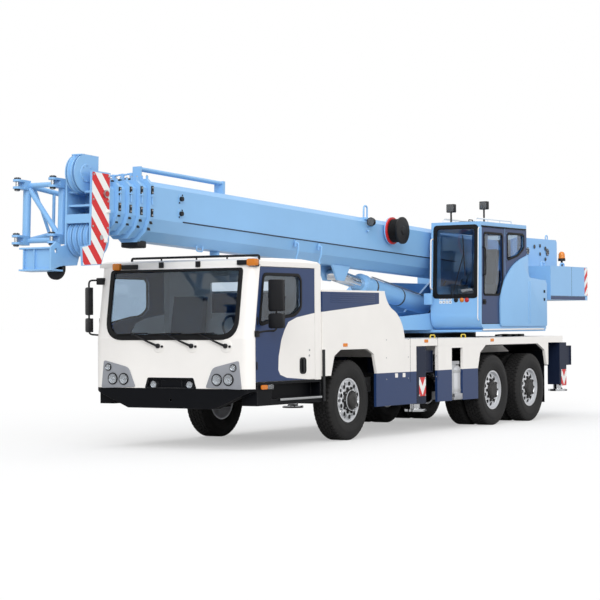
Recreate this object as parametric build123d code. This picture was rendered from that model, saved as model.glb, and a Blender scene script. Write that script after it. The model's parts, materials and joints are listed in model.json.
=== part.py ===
from build123d import *
import math
import os

# Three-axle telescopic truck crane, parked with its boom stowed over the cab.
# Frame: origin in the middle of the plan on the ground, +X forward, +Y left,
# +Z up.  Every size is in millimetres.

# ---------------------------------------------------------------- running gear
FRONT_AXLE_X = 1500.0
WHEELBASE = 4350.0              # front axle to the first rear axle
TANDEM = 1350.0                 # between the two rear axles
REAR_AXLE_1_X = FRONT_AXLE_X - WHEELBASE
REAR_AXLE_2_X = REAR_AXLE_1_X - TANDEM
TYRE_RADIUS = 542.5
TYRE_WIDTH = 300.0
BEAD_RADIUS = 300.0             # tyre bead and rim barrel meet here
RIM_WALL = 22.0
AXLE_Z = TYRE_RADIUS
DUAL_SPACING = 330.0
HUB_RADIUS = 140.0
KINGPIN_RADIUS = 22.0
FRONT_SPINDLE_RADIUS = 45.0
REAR_SPINDLE_RADIUS = 55.0
SPINDLE_CLEARANCE = 0.05        # radial running clearance of every shaft

# ---------------------------------------------------------------- carrier
BODY_HALF = 1245.0              # outer face of the side panels
FRONT_WHEEL_Y = BODY_HALF - 215 # middle of the front tyre
KINGPIN_Y = BODY_HALF - 315
DUAL_Y = BODY_HALF - 320        # middle between the twin tyres
PANEL = 40.0                    # thickness of doors, walls and panels
RAIL_Y = DUAL_Y - 535           # middle of a frame rail
RAIL_WIDTH = 80.0
RAIL_TOP = 1100.0
RAIL_BOTTOM = 800.0
DECK_TOP = 1355.0
DECK_PLATE = 24.0
DECK_FRONT_X = 60.0
DECK_REAR_X = REAR_AXLE_2_X - 1240.0
BAND_BOTTOM = 1250.0            # lower edge of the white band round the deck
SKIRT_TOP = 890.0
SKIRT_BOTTOM = 430.0
SKIRT_FRONT_X = 890.0

CAB_FRONT_X = 4040.0            # middle of the front face
CAB_REAR_X = 2340.0
CAB_HALF = BODY_HALF - 20
CAB_BOTTOM = 850.0
CAB_TOP = 2420.0
ROOF_UNDER = 2330.0
DOOR_FRONT_X = 3880.0
DOOR_REAR_X = 2500.0
DOOR_TOP = 2300.0
DOOR_GAP = 8.0
CAB_CORNER = 140.0              # radius of the cab's front corners in plan
WIDE_SCREEN_HALF = 985.0        # half width of the windscreen

HOUSING_TOP = 2030.0            # body behind the cab
HOUSING_FRONT_X = 2325.0

# ---------------------------------------------------------------- outriggers
# X of the middle of each outrigger box, and height of its floats when stowed
OUTRIGGERS = {"front": (-610.0, 310.0), "rear": (REAR_AXLE_2_X - 1430.0, 440.0)}
BOX_LENGTH = 620.0              # along X, two bays side by side
BOX_WALL = 12.0
BEAM_LENGTH_X = 270.0
BEAM_HEIGHT = 300.0
BEAM_BOTTOM = 875.0
BEAM_INNER_Y = BODY_HALF - 80   # the beam's inner end, beyond the middle
BEAM_CLEARANCE = 0.5
BAY_OFFSET = 155.0              # from the box's middle to a bay's middle
JACK_Y = BODY_HALF - 120
JACK_CASE = 220.0
JACK_ROD_RADIUS = 70.0
FLOAT_RADIUS = 150.0
JACK_TOP = 1245.0

# ---------------------------------------------------------------- superstructure
SLEW_X = -3100.0
SLEW_RADIUS = 720.0
SLEW_SPLIT = 1425.0             # running face between lower and upper ring
SLEW_GAP = 0.3
TABLE_TOP = 1600.0
SIDE_PLATE_Y = 345.0            # inner face of the two boom foot plates
SIDE_PLATE = 40.0
PIVOT_X = -4600.0
PIVOT_Z = 2750.0
PIVOT_PIN_RADIUS = 70.0
FOOT_X = -3500.0                # luffing cylinder's foot pin
FOOT_Z = 1750.0
FOOT_PIN_RADIUS = 55.0

OPCAB_FRONT_X = -2350.0
OPCAB_REAR_X = -4050.0
OPCAB_INNER_Y = 400.0
OPCAB_OUTER_Y = 1245.0
OPCAB_BOTTOM = 1475.0
OPCAB_TOP = 3130.0
OPDOOR_REAR_X = -3250.0

WEIGHT_REAR_X = -6720.0
WEIGHT_FRONT_X = -5000.0
WEIGHT_BOTTOM = 1950.0
WEIGHT_TOP = 2510.0
WEIGHT_HALF = 1235.0
WINCH_HOUSE_Y = 600.0
WINCH_HOUSE_TOP = 3000.0

# ---------------------------------------------------------------- boom
BOOM_TILT = 2.35                # degrees, nose up, as stowed
BOOM_WALL = 12.0
BOOM_STEP = 30.0                # from one section's outer face to the next
PAD_CLEARANCE = 0.5
COLLAR_LENGTH = 60.0
COLLAR_STANDOUT = 22.0
TAIL_PAD_LENGTH = 90.0
# right half of the outer section, seen from the front: (y, z) from the pivot
BOOM_OUTLINE = [(232, 220), (300, 152), (300, -247), (235, -400), (110, -515)]
# x of the tail and of the nose of each section, from the pivot
BOOM_ENDS = [(-150, 9500), (350, 9680), (420, 9860), (490, 10040), (560, 10290)]
ROD_EYE_X = 4500.0              # luffing rod's eye, from the pivot
ROD_EYE_Z = -640.0
HEAD_REAR_X = 10150.0
HEAD_FRONT_X = 10520.0
HEAD_HALF = 195.0
HEAD_PLATE = 25.0
SHEAVE_RADIUS = 220.0
TOP_SHEAVE_RADIUS = 235.0
DATUM_X = 245.0                 # from the datum of this drawing to the middle of the plan

nodes = {}


# ================================================================ helpers
def block(x0, x1, y0, y1, z0, z1):
    """A box between two corners."""
    middle = Pos((x0 + x1) / 2, (y0 + y1) / 2, (z0 + z1) / 2)
    return middle * Box(abs(x1 - x0), abs(y1 - y0), abs(z1 - z0))


def outline(points, place):
    """The face inside a closed outline.  A point with a third entry is one
    that an arc passes through, between the points before and after it."""
    closed = points + [points[0]]
    edges = []
    i = 0
    while i < len(points):
        if len(closed[i + 1]) == 3:
            edges.append(ThreePointArc(*[place(*p[:2]) for p in closed[i:i + 3]]))
            i += 2
        else:
            edges.append(Line(place(*closed[i]), place(*closed[i + 1])))
            i += 1
    return make_face(edges)


def side_plate(points, y0, y1):
    """An outline of (x, z) points, made solid from y0 to y1."""
    face = outline(points, lambda x, z: (x, y0, z))
    return extrude(face, amount=y1 - y0, dir=(0, 1, 0))


def cross_plate(points, x0, x1):
    """An outline of (y, z) points, made solid from x0 to x1."""
    face = outline(points, lambda y, z: (x0, y, z))
    return extrude(face, amount=x1 - x0, dir=(1, 0, 0))


def flat_plate(points, z0, z1):
    """An outline of (x, y) points, made solid from z0 to z1."""
    face = outline(points, lambda x, y: (x, y, z0))
    return extrude(face, amount=z1 - z0, dir=(0, 0, 1))


def bar_x(radius, x0, x1, y, z):
    return Pos((x0 + x1) / 2, y, z) * Rot(0, 90, 0) * Cylinder(radius, x1 - x0)


def bar_y(radius, x, y0, y1, z):
    return Pos(x, (y0 + y1) / 2, z) * Rot(90, 0, 0) * Cylinder(radius, abs(y1 - y0))


def bar_z(radius, x, y, z0, z1):
    return Pos(x, y, (z0 + z1) / 2) * Cylinder(radius, z1 - z0)


def strut(start, end, radius):
    """A round bar between two points."""
    line = Vector(*end) - Vector(*start)
    seat = Plane(origin=start, z_dir=line)
    return seat * Cylinder(radius, line.length, align=(Align.CENTER, Align.CENTER, Align.MIN))


def both_sides(shape):
    return [shape, mirror(shape, about=Plane.XZ)]


def join(*shapes):
    """Fuse everything given; pieces that do not touch stay separate solids."""
    parts = []
    for shape in shapes:
        parts += shape if isinstance(shape, list) else [shape]
    return Part() + parts


def keep(name, *shapes):
    nodes[name] = join(*shapes)


def turned(points, x, y):
    """A ring turned about a wheel's axle, from (y, radius) points about y."""
    outline = Polyline(*[(0, a, r) for a, r in points], close=True)
    return Pos(x, y, AXLE_Z) * revolve(make_face(outline), Axis.Y)


def boom_place(shape):
    """Put a shape drawn along the boom, from its pivot, at the stowed tilt."""
    return Pos(PIVOT_X, 0, PIVOT_Z) * Rot(0, -BOOM_TILT, 0) * shape


# ================================================================ wheels
def tyre(x, y):
    half = TYRE_WIDTH / 2
    bead, bulge, shoulder, tread = 118.0, half, 128.0, 112.0
    edges = []
    for side in (1, -1):
        edges.append(ThreePointArc((0, side * bead, BEAD_RADIUS), (0, side * bulge, 410),
                                   (0, side * shoulder, TYRE_RADIUS - 14)))
        edges.append(Line((0, side * shoulder, TYRE_RADIUS - 14), (0, side * tread, TYRE_RADIUS)))
    edges.append(Line((0, -tread, TYRE_RADIUS), (0, tread, TYRE_RADIUS)))
    edges.append(Line((0, -bead, BEAD_RADIUS), (0, bead, BEAD_RADIUS)))
    return Pos(x, y, AXLE_Z) * revolve(make_face(edges), Axis.Y)


def hand_holes(x, y0, y1, radius, count):
    holes = []
    for i in range(count):
        angle = math.radians(360 * i / count)
        holes.append(bar_y(27, x + radius * math.cos(angle), y0, y1,
                           AXLE_Z + radius * math.sin(angle)))
    return holes


def front_rim(x):
    """Barrel, outward-crowned disc and hub of a steered wheel on the left."""
    y, inner = FRONT_WHEEL_Y, BEAD_RADIUS - RIM_WALL
    barrel = turned([(-118, BEAD_RADIUS), (118, BEAD_RADIUS), (118, inner), (100, inner - 10),
                     (128, 190), (128, 120), (106, 120), (106, 185), (76, inner),
                     (-118, inner)], x, y)
    hub = bar_y(HUB_RADIUS, x, y - 10, y + 175, AXLE_Z)
    bore = bar_y(FRONT_SPINDLE_RADIUS + SPINDLE_CLEARANCE, x, y - 15, y + 90, AXLE_Z)
    return join(barrel, hub) - hand_holes(x, y + 50, y + 140, 228, 10) - bore


def dual_rims(x):
    """Two barrels back to back on one disc, with the long hub of a driven wheel."""
    y, inner = DUAL_Y, BEAD_RADIUS - RIM_WALL
    pieces = []
    for side in (-1, 1):
        middle = y + side * DUAL_SPACING / 2
        outer_edge, disc_edge = middle + side * 118, y + side * 4
        pieces.append(turned([(outer_edge, BEAD_RADIUS), (disc_edge, BEAD_RADIUS),
                              (disc_edge, inner - 60), (disc_edge + side * 16, inner - 60),
                              (disc_edge + side * 40, inner), (outer_edge, inner)], x, 0))
    disc = bar_y(inner, x, y - 14, y + 14, AXLE_Z)
    hub = bar_y(HUB_RADIUS, x, y - 150, y + 235, AXLE_Z)
    bore = bar_y(REAR_SPINDLE_RADIUS + SPINDLE_CLEARANCE, x, y - 155, y + 100, AXLE_Z)
    return join(pieces, disc, hub) - hand_holes(x, y - 60, y + 60, 208, 10) - bore


def mirrored_pair(name, shape):
    keep(name + "_left", shape)
    keep(name + "_right", mirror(nodes[name + "_left"], about=Plane.XZ))


mirrored_pair("front_tyre", tyre(FRONT_AXLE_X, FRONT_WHEEL_Y))
mirrored_pair("front_rim", front_rim(FRONT_AXLE_X))
for number, axle_x in (("1", REAR_AXLE_1_X), ("2", REAR_AXLE_2_X)):
    twins = [tyre(axle_x, DUAL_Y + side * DUAL_SPACING / 2) for side in (-1, 1)]
    mirrored_pair("rear_tyres_" + number, join(twins))
    mirrored_pair("rear_rims_" + number, dual_rims(axle_x))


# ================================================================ axles
def front_beam():
    x = FRONT_AXLE_X
    beam = block(x - 50, x + 50, -KINGPIN_Y + 50, KINGPIN_Y - 50, AXLE_Z - 55, AXLE_Z + 55)
    bosses = both_sides(bar_z(50, x, KINGPIN_Y, AXLE_Z - 90, AXLE_Z + 90))
    bore = bar_z(KINGPIN_RADIUS + SPINDLE_CLEARANCE, x, KINGPIN_Y, AXLE_Z - 95, AXLE_Z + 95)
    web = [block(x - 50, x + 50, KINGPIN_Y - 60, KINGPIN_Y - 5, AXLE_Z - 55, AXLE_Z + 55)]
    arms = both_sides(web[0])
    return join(beam, bosses, arms) - both_sides(bore)


def rear_housing(x):
    half = DUAL_Y - 225             # the casing ends inside the inner brake drums
    tube = bar_y(75, x, -half, half, AXLE_Z)
    bowl = Pos(x, 0, AXLE_Z) * Sphere(205)
    spindles = both_sides(bar_y(REAR_SPINDLE_RADIUS, x, half - 10, DUAL_Y + 95, AXLE_Z))
    return join(tube, bowl, spindles)


axles = [front_beam(), rear_housing(REAR_AXLE_1_X), rear_housing(REAR_AXLE_2_X)]


def knuckle():
    """Steering fork of the left front wheel with its kingpin and spindle."""
    x, y = FRONT_AXLE_X, KINGPIN_Y
    plates = [block(x - 60, x + 60, y - 45, y + 80, AXLE_Z + 95, AXLE_Z + 130),
              block(x - 60, x + 60, y - 45, y + 80, AXLE_Z - 130, AXLE_Z - 95),
              block(x - 60, x + 60, y + 56, y + 80, AXLE_Z - 130, AXLE_Z + 130)]
    pin = bar_z(KINGPIN_RADIUS, x, y, AXLE_Z - 130, AXLE_Z + 130)
    spindle = bar_y(FRONT_SPINDLE_RADIUS, x, y + 70, FRONT_WHEEL_Y + 85, AXLE_Z)
    arm = block(x - 190, x - 50, y - 40, y, AXLE_Z - 130, AXLE_Z - 100)
    return join(plates, pin, spindle, arm)


mirrored_pair("steering_knuckle", knuckle())


# ================================================================ chassis
def outrigger_box_volumes(grow=0.0):
    """The outer block of each outrigger box, to cut what it passes through."""
    half = BOX_LENGTH / 2 + grow
    bottom, top = BEAM_BOTTOM - BOX_WALL, BEAM_BOTTOM + BEAM_HEIGHT + 2 * BEAM_CLEARANCE + BOX_WALL
    return [block(x - half, x + half, -JACK_Y, JACK_Y, bottom - grow, top + grow)
            for x, _ in OUTRIGGERS.values()]


FRAME_REAR_X = REAR_AXLE_2_X - 1760.0
FRAME_FRONT_X = 3890.0
MID_RAIL_TOP, MID_RAIL_BOTTOM = 1000.0, 740.0
NOSE_RAIL_TOP, NOSE_RAIL_BOTTOM = 820.0, 620.0
RAIL_OUTLINE = [(FRAME_REAR_X, RAIL_BOTTOM), (FRAME_REAR_X, RAIL_TOP), (100, RAIL_TOP),
                (400, MID_RAIL_TOP), (2150, MID_RAIL_TOP), (2350, NOSE_RAIL_TOP),
                (FRAME_FRONT_X, NOSE_RAIL_TOP), (FRAME_FRONT_X, NOSE_RAIL_BOTTOM),
                (2270, NOSE_RAIL_BOTTOM), (2070, MID_RAIL_BOTTOM), (300, MID_RAIL_BOTTOM),
                (0, RAIL_BOTTOM)]
# cross members between the rails: x, bottom, top
CROSS_MEMBERS = [(3780, 640, 800), (2420, 640, 800), (450, 770, 980), (-1300, 820, 1080),
                 (REAR_AXLE_1_X + 600, 820, 1080), ((REAR_AXLE_1_X + REAR_AXLE_2_X) / 2, 820, 1080),
                 (REAR_AXLE_2_X - 600, 820, 1080)]
RAIL_INNER = RAIL_Y - RAIL_WIDTH / 2
RAIL_OUTER = RAIL_Y + RAIL_WIDTH / 2
ENGINE_HALF = RAIL_INNER - 50
ENGINE_X = (700.0, 2050.0)
ENGINE_Z = (720.0, 1650.0)

rails = both_sides(side_plate(RAIL_OUTLINE, RAIL_INNER, RAIL_OUTER))
members = [block(x - 40, x + 40, -RAIL_INNER, RAIL_INNER, low, high)
           for x, low, high in CROSS_MEMBERS]
cab_mounts = []
for x in (3650, 2480):
    cab_mounts += both_sides(block(x - 50, x + 50, RAIL_INNER, RAIL_OUTER,
                                   NOSE_RAIL_TOP, CAB_BOTTOM))
engine_mounts = []
for x in (ENGINE_X[0] + 150, ENGINE_X[1] - 150):
    engine_mounts += both_sides(block(x - 50, x + 50, ENGINE_HALF, RAIL_INNER, 880, 960))
tail_plate = block(FRAME_REAR_X - 20, FRAME_REAR_X, -RAIL_OUTER - 30, RAIL_OUTER + 30, RAIL_BOTTOM,
                   RAIL_TOP)
keep("chassis_frame", join(rails, members, cab_mounts, engine_mounts, tail_plate)
     - outrigger_box_volumes())
keep("engine_block", block(*ENGINE_X, -ENGINE_HALF, ENGINE_HALF, *ENGINE_Z))

# leaf springs: under the rails at the front, one bogie pack each side behind
SPRING_SEAT = AXLE_Z + 55
FRONT_SPRING = [(900, 690), (1300, 634), (1440, 622), (1440, SPRING_SEAT), (1560, SPRING_SEAT),
                (1560, 622), (1700, 634), (2040, 690), (2040, MID_RAIL_BOTTOM),
                (1960, MID_RAIL_BOTTOM), (1960, 726), (1700, 690), (1500, 682), (1300, 690),
                (980, 726), (980, MID_RAIL_BOTTOM), (900, MID_RAIL_BOTTOM)]
BOGIE_X = (REAR_AXLE_1_X + REAR_AXLE_2_X) / 2
BOGIE_SEAT = AXLE_Z + 75
# one half of the bogie pack: distance from its middle, height
BOGIE_HALF = [(115, RAIL_BOTTOM), (115, 745), (375, 705), (735, 665), (735, BOGIE_SEAT),
              (615, BOGIE_SEAT), (615, 635), (125, 655)]
bogie_spring = ([(BOGIE_X + a, z) for a, z in BOGIE_HALF]
                + [(BOGIE_X - a, z) for a, z in reversed(BOGIE_HALF)])
springs = both_sides(side_plate(FRONT_SPRING, RAIL_INNER + 2, RAIL_OUTER - 2))
springs += both_sides(side_plate(bogie_spring, RAIL_INNER + 2, RAIL_OUTER - 2))
keep("axles_and_springs", join(axles + springs))


# ================================================================ carrier cab
SCREEN_FOOT_Z = 1400.0          # the front face is upright below, raked above
SCREEN_HEAD_X = 3895.0
SCREEN_RAKE = (CAB_FRONT_X - SCREEN_HEAD_X) / (ROOF_UNDER - SCREEN_FOOT_Z)
FRONT_BOTTOM = 770.0
SCREEN_BOTTOM, SCREEN_TOP = 1440.0, 2272.0
LAMP_RECESS_HALF = 390.0


def front_face_x(z):
    return CAB_FRONT_X - max(0.0, z - SCREEN_FOOT_Z) * SCREEN_RAKE


def screen_hole(x0, x1, shrink=0.0):
    """The windscreen's outline with its large lower corners, from x0 to x1."""
    half, low, high = WIDE_SCREEN_HALF - shrink, SCREEN_BOTTOM + shrink, SCREEN_TOP - shrink
    points = [(-half, high), (-half, low + 190), (-half + 50, low + 50, "via"), (-half + 190, low),
              (half - 190, low), (half - 50, low + 50, "via"), (half, low + 190), (half, high)]
    return cross_plate(points, x0, x1)


def cab_slab(depth_0, depth_1, bottom, top, half):
    """A slab that follows the front face between two depths behind it."""
    points = [(front_face_x(z) - d, z) for d, zs in
              ((depth_0, (bottom, SCREEN_FOOT_Z, top)), (depth_1, (top, SCREEN_FOOT_Z, bottom)))
              for z in zs]
    return side_plate(points, -half, half)


def door_edge_x(z, clearance=0.0):
    """Front edge of the door: upright to the window sill, then raked."""
    return DOOR_FRONT_X + 50 - clearance - max(0.0, z - 1500) * SCREEN_RAKE


outer = side_plate([(3700, FRONT_BOTTOM), (3700, ROOF_UNDER), (SCREEN_HEAD_X, ROOF_UNDER),
                    (CAB_FRONT_X, SCREEN_FOOT_Z), (CAB_FRONT_X, FRONT_BOTTOM)],
                   -CAB_HALF, CAB_HALF)


def round_nose(solid, half, radius):
    """Round the front corners of a cab shell whose sides are at a half width."""
    corners = [e for e in solid.edges() if abs(e.center().Y) > half - 1
               and e.center().X > SCREEN_HEAD_X - 20]
    return fillet(corners, radius)


outer = round_nose(outer, CAB_HALF, CAB_CORNER)
inner = side_plate([(3600, FRONT_BOTTOM - 50), (3600, ROOF_UNDER + 50),
                    (front_face_x(ROOF_UNDER + 50) - PANEL, ROOF_UNDER + 50),
                    (CAB_FRONT_X - PANEL, SCREEN_FOOT_Z), (CAB_FRONT_X - PANEL, FRONT_BOTTOM - 50)],
                   -CAB_HALF + PANEL, CAB_HALF - PANEL)
inner = round_nose(inner, CAB_HALF - PANEL, CAB_CORNER - PANEL)
behind = side_plate([(3500, FRONT_BOTTOM - 50), (door_edge_x(1500), FRONT_BOTTOM - 50),
                     (door_edge_x(1500), 1500), (door_edge_x(2400), 2400), (3500, 2400)],
                    -CAB_HALF - 10, CAB_HALF + 10)
recess = cross_plate([(-LAMP_RECESS_HALF, FRONT_BOTTOM - 20), (-LAMP_RECESS_HALF + 40, 900),
                      (LAMP_RECESS_HALF - 40, 900), (LAMP_RECESS_HALF, FRONT_BOTTOM - 20)],
                     CAB_FRONT_X - 200, CAB_FRONT_X + 20)
keep("cab_front", outer - inner - behind - screen_hole(3700, 4100) - recess)
keep("cab_windscreen", cab_slab(10, 18, SCREEN_BOTTOM - 30, SCREEN_TOP + 30, CAB_HALF - 100)
     & screen_hole(3700, 4100))

back_wall = block(CAB_REAR_X, CAB_REAR_X + PANEL, -CAB_HALF, CAB_HALF, CAB_BOTTOM, ROOF_UNDER)
rear_pillars = both_sides(block(CAB_REAR_X, DOOR_REAR_X - DOOR_GAP, CAB_HALF - PANEL, CAB_HALF,
                                CAB_BOTTOM, ROOF_UNDER))
back_window = block(CAB_REAR_X - 10, CAB_REAR_X + PANEL + 10, -500, 500, 1650, 2150)
FLOOR_HALF = CAB_HALF - PANEL - DOOR_GAP
NOSE = CAB_CORNER - PANEL       # inner radius of the front corners
floor_half_plan = [(CAB_REAR_X + PANEL, FLOOR_HALF), (CAB_FRONT_X - CAB_CORNER, FLOOR_HALF),
                   (CAB_FRONT_X - PANEL, FLOOR_HALF - NOSE)]
cab_floor = flat_plate(floor_half_plan + [(x, -y) for x, y in reversed(floor_half_plan)],
                       CAB_BOTTOM, CAB_BOTTOM + PANEL)
keep("cab_tub", join(back_wall, rear_pillars, cab_floor) - back_window)

roof = side_plate([(SCREEN_HEAD_X, ROOF_UNDER), (SCREEN_HEAD_X, 2385), (3800, 2410),
                   (3450, CAB_TOP), (2750, CAB_TOP), (CAB_REAR_X + 60, 2390),
                   (CAB_REAR_X, 2350), (CAB_REAR_X, ROOF_UNDER)], -CAB_HALF, CAB_HALF)
crown = cross_plate([(-CAB_HALF, 2300), (-CAB_HALF, 2372), (-CAB_HALF + 50, CAB_TOP),
                     (CAB_HALF - 50, CAB_TOP), (CAB_HALF, 2372), (CAB_HALF, 2300)],
                    CAB_REAR_X - 10, CAB_FRONT_X)
header = both_sides(block(DOOR_REAR_X - DOOR_GAP, door_edge_x(ROOF_UNDER), CAB_HALF - PANEL,
                          CAB_HALF, DOOR_TOP + DOOR_GAP, ROOF_UNDER))
keep("cab_roof", roof & crown, header)


HINGE_FIT = 0.6                 # between a door's hinge leaf and its frame


def cab_door():
    """Left door with its window cut, smaller than its opening by the gap."""
    bottom = CAB_BOTTOM + DOOR_GAP
    panel = side_plate([(DOOR_REAR_X, bottom), (door_edge_x(bottom, DOOR_GAP), bottom),
                        (door_edge_x(1500, DOOR_GAP), 1500), (door_edge_x(DOOR_TOP, DOOR_GAP), DOOR_TOP),
                        (DOOR_REAR_X, DOOR_TOP)], CAB_HALF - PANEL, CAB_HALF)
    window = side_plate([(2900, 2210), (2840, 2150), (2840, 1790), (3000, 1690), (3190, 1680),
                         (door_edge_x(1570, 75), 1570), (door_edge_x(2210, 75), 2210)],
                        CAB_HALF - PANEL - 5, CAB_HALF + 5)
    leaves = [block(DOOR_FRONT_X, door_edge_x(z) - HINGE_FIT, CAB_HALF - 22, CAB_HALF, z - 50, z + 50)
              for z in (1030, 1430)]
    return join([panel - window] + leaves)


mirrored_pair("cab_door", cab_door())

STEP_FRONT_X, STEP_REAR_X = 3570.0, 2370.0
STEP_INNER_Y = CAB_HALF - 225
step_body = block(CAB_REAR_X, 3900, STEP_INNER_Y, CAB_HALF, 555, CAB_BOTTOM - 1)
step_recess = block(STEP_REAR_X, STEP_FRONT_X, STEP_INNER_Y + 80, CAB_HALF + 10, 630, 820)
step_hanger = block(2450, 3850, STEP_INNER_Y, STEP_INNER_Y + 40, CAB_BOTTOM - 1, CAB_BOTTOM)
steps = both_sides(join(step_body - step_recess, step_hanger))

BUMPER_BOTTOM = 515.0
BUMPER_DEPTH = 141.0
bumper = cross_plate([(-CAB_HALF, FRONT_BOTTOM), (-CAB_HALF, 745), (-670, BUMPER_BOTTOM),
                      (670, BUMPER_BOTTOM), (CAB_HALF, 745), (CAB_HALF, FRONT_BOTTOM)],
                     CAB_FRONT_X - BUMPER_DEPTH, CAB_FRONT_X)
corner_posts = [e for e in block(CAB_REAR_X, CAB_FRONT_X, -CAB_HALF, CAB_HALF, 400, 900).edges()
                .filter_by(Axis.Z).group_by(Axis.X)[-1]]
bumper = bumper & fillet(corner_posts, CAB_CORNER - 1)
recess_back = block(3950, CAB_FRONT_X - PANEL, -LAMP_RECESS_HALF + 5, LAMP_RECESS_HALF - 5,
                    FRONT_BOTTOM - 30, 849)
TOW_BORE_RADIUS = 20.0
TOW_Z = 620.0
keep("bumper_and_steps", join([bumper, recess_back] + steps)
     - bar_x(TOW_BORE_RADIUS, CAB_FRONT_X - 200, CAB_FRONT_X + 10, 0, TOW_Z))

# seats and dashboard, seen through the glass
SEAT_SIDE = [(2720, 1180), (2620, 1950), (2720, 1960), (2850, 1310), (3250, 1330), (3260, 1200),
             (3150, 1150), (3100, CAB_BOTTOM + PANEL), (2800, CAB_BOTTOM + PANEL), (2780, 1150)]
seats = both_sides(side_plate(SEAT_SIDE, 380, 860))
DASH_HALF = CAB_HALF - CAB_CORNER - 5
dash = side_plate([(3620, 1180), (3640, 1420), (3860, 1430), (3990, 1350), (3990, 1100)],
                  -DASH_HALF, DASH_HALF)
dash_leg = block(3820, 3990, -500, 500, CAB_BOTTOM + PANEL, 1150)
column = strut((3700, 620, 1330), (3403, 620, 1510), 35)
wheel_rim = Plane(origin=(3410, 620, 1506), z_dir=(-280, 0, 170)) * Torus(215, 16)
spoke = Plane(origin=(3410, 620, 1506), z_dir=(-280, 0, 170)) * Box(410, 40, 20)
keep("cab_interior", join(seats + [dash, dash_leg, column, wheel_rim, spoke]))


# mirrors on tube arms: the left one is carried by the door
MIRROR_DEPTH, MIRROR_ARM = 70.0, 14.0


def mirror_heads(x, y, width, turn, heights):
    """Large and small mirror case, one above the other, turned towards the driver."""
    cases = [block(-MIRROR_DEPTH / 2, MIRROR_DEPTH / 2, -width / 2, width / 2, low, high)
             for low, high in heights]
    return [Pos(x, y, 0) * Rot(0, 0, turn) * case for case in cases]


LEFT_MIRROR, RIGHT_MIRROR = (3720.0, BODY_HALF + 160), (3990.0, -BODY_HALF - 90)
x, y = LEFT_MIRROR
left_arm = [strut((3890, CAB_HALF - 10, 1470), (x, y, 1600), MIRROR_ARM),
            strut((x, y, 1600), (x, y, 1900), MIRROR_ARM)]
keep("cab_mirror_left", join(mirror_heads(x, y, 220, 0, ((1525, 1715), (1740, 2140))), left_arm)
     - nodes["cab_door_left"])
x, y = RIGHT_MIRROR
right_arm = [strut((3950, -CAB_HALF + 30, 1450), (x, y, 1500), MIRROR_ARM),
             strut((x, y, 1500), (x, y, 2170), MIRROR_ARM),
             strut((x, y, 2160), (3850, -CAB_HALF + 40, 2170), MIRROR_ARM)]
keep("cab_mirror_right", join(mirror_heads(x, y, 140, -30, ((1485, 1675), (1710, 2080))), right_arm)
     - nodes["cab_front"])


# ================================================================ body and deck
# front arch and the sweep from the tall body down to the deck, (x, z)
ARCH = [(860, 300), (880, 910), (960, 1160), (1140, 1232), (1860, 1232), (2030, 1150),
        (2130, 860), (2130, 300)]
SWEEP = [(640, HOUSING_TOP), (565, 1890, "via"), (400, 1770), (160, 1600, "via"),
         (DECK_FRONT_X, DECK_TOP)]
SWEEP_INNER = [(DECK_FRONT_X + PANEL, DECK_TOP), (195, 1580, "via"), (425, 1736),
               (595, 1860, "via"), (662, HOUSING_TOP - PANEL)]
arch_cut = side_plate(ARCH, -BODY_HALF - 10, BODY_HALF + 10)
housing_side = side_plate([(HOUSING_FRONT_X, SKIRT_TOP), (HOUSING_FRONT_X, HOUSING_TOP)] + SWEEP
                          + [(DECK_FRONT_X, SKIRT_TOP)], BODY_HALF - PANEL, BODY_HALF)
skin = side_plate([(HOUSING_FRONT_X, HOUSING_TOP)] + SWEEP + SWEEP_INNER
                  + [(HOUSING_FRONT_X, HOUSING_TOP - PANEL)], -BODY_HALF + PANEL, BODY_HALF - PANEL)
front_wall = block(HOUSING_FRONT_X - PANEL, HOUSING_FRONT_X, -BODY_HALF + PANEL,
                   BODY_HALF - PANEL, MID_RAIL_TOP, HOUSING_TOP - PANEL)
rear_wall = block(DECK_FRONT_X, DECK_FRONT_X + PANEL, -BODY_HALF + PANEL, BODY_HALF - PANEL,
                  RAIL_TOP, DECK_TOP)
keep("engine_housing", join(both_sides(housing_side) + [skin, front_wall, rear_wall]) - arch_cut)

BEARER_TOP = DECK_TOP - DECK_PLATE
deck_plate = block(DECK_REAR_X, DECK_FRONT_X, -BODY_HALF, BODY_HALF, BEARER_TOP, DECK_TOP)
band = both_sides(block(DECK_REAR_X, DECK_FRONT_X, BODY_HALF - PANEL, BODY_HALF,
                        BAND_BOTTOM, BEARER_TOP))
bearers = both_sides(block(DECK_REAR_X, DECK_FRONT_X, RAIL_INNER, RAIL_OUTER,
                           RAIL_TOP, BEARER_TOP))
keep("deck", join([deck_plate] + band + bearers) - outrigger_box_volumes())

ARCH_FRONT, ARCH_BACK = REAR_AXLE_1_X + 580, REAR_AXLE_2_X - 590
REAR_ARCH = [(ARCH_FRONT, 300), (ARCH_FRONT, 890), (ARCH_FRONT - 80, 1130), (ARCH_FRONT - 280, 1240),
             (ARCH_BACK + 340, 1240), (ARCH_BACK + 70, 1130), (ARCH_BACK, 890), (ARCH_BACK, 300)]
TANK_WINDOW = (-1760.0, -1400.0)
OUT_FRONT_X = OUTRIGGERS["front"][0]
OUT_REAR_X = OUTRIGGERS["rear"][0]
SIDE_REAR_X = ARCH_BACK - 70
side_sheet = side_plate([(SKIRT_FRONT_X, SKIRT_BOTTOM), (SKIRT_FRONT_X, SKIRT_TOP),
                         (DECK_FRONT_X, SKIRT_TOP), (DECK_FRONT_X, BAND_BOTTOM),
                         (SIDE_REAR_X, BAND_BOTTOM), (SIDE_REAR_X, SKIRT_BOTTOM)],
                        BODY_HALF - PANEL, BODY_HALF)
THROUGH_SHEET = BODY_HALF - PANEL - 10, BODY_HALF + 10
out_window = block(OUT_FRONT_X - BOX_LENGTH / 2 - 15, OUT_FRONT_X + BOX_LENGTH / 2 + 15,
                   *THROUGH_SHEET, SKIRT_BOTTOM - 10, BAND_BOTTOM)
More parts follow.
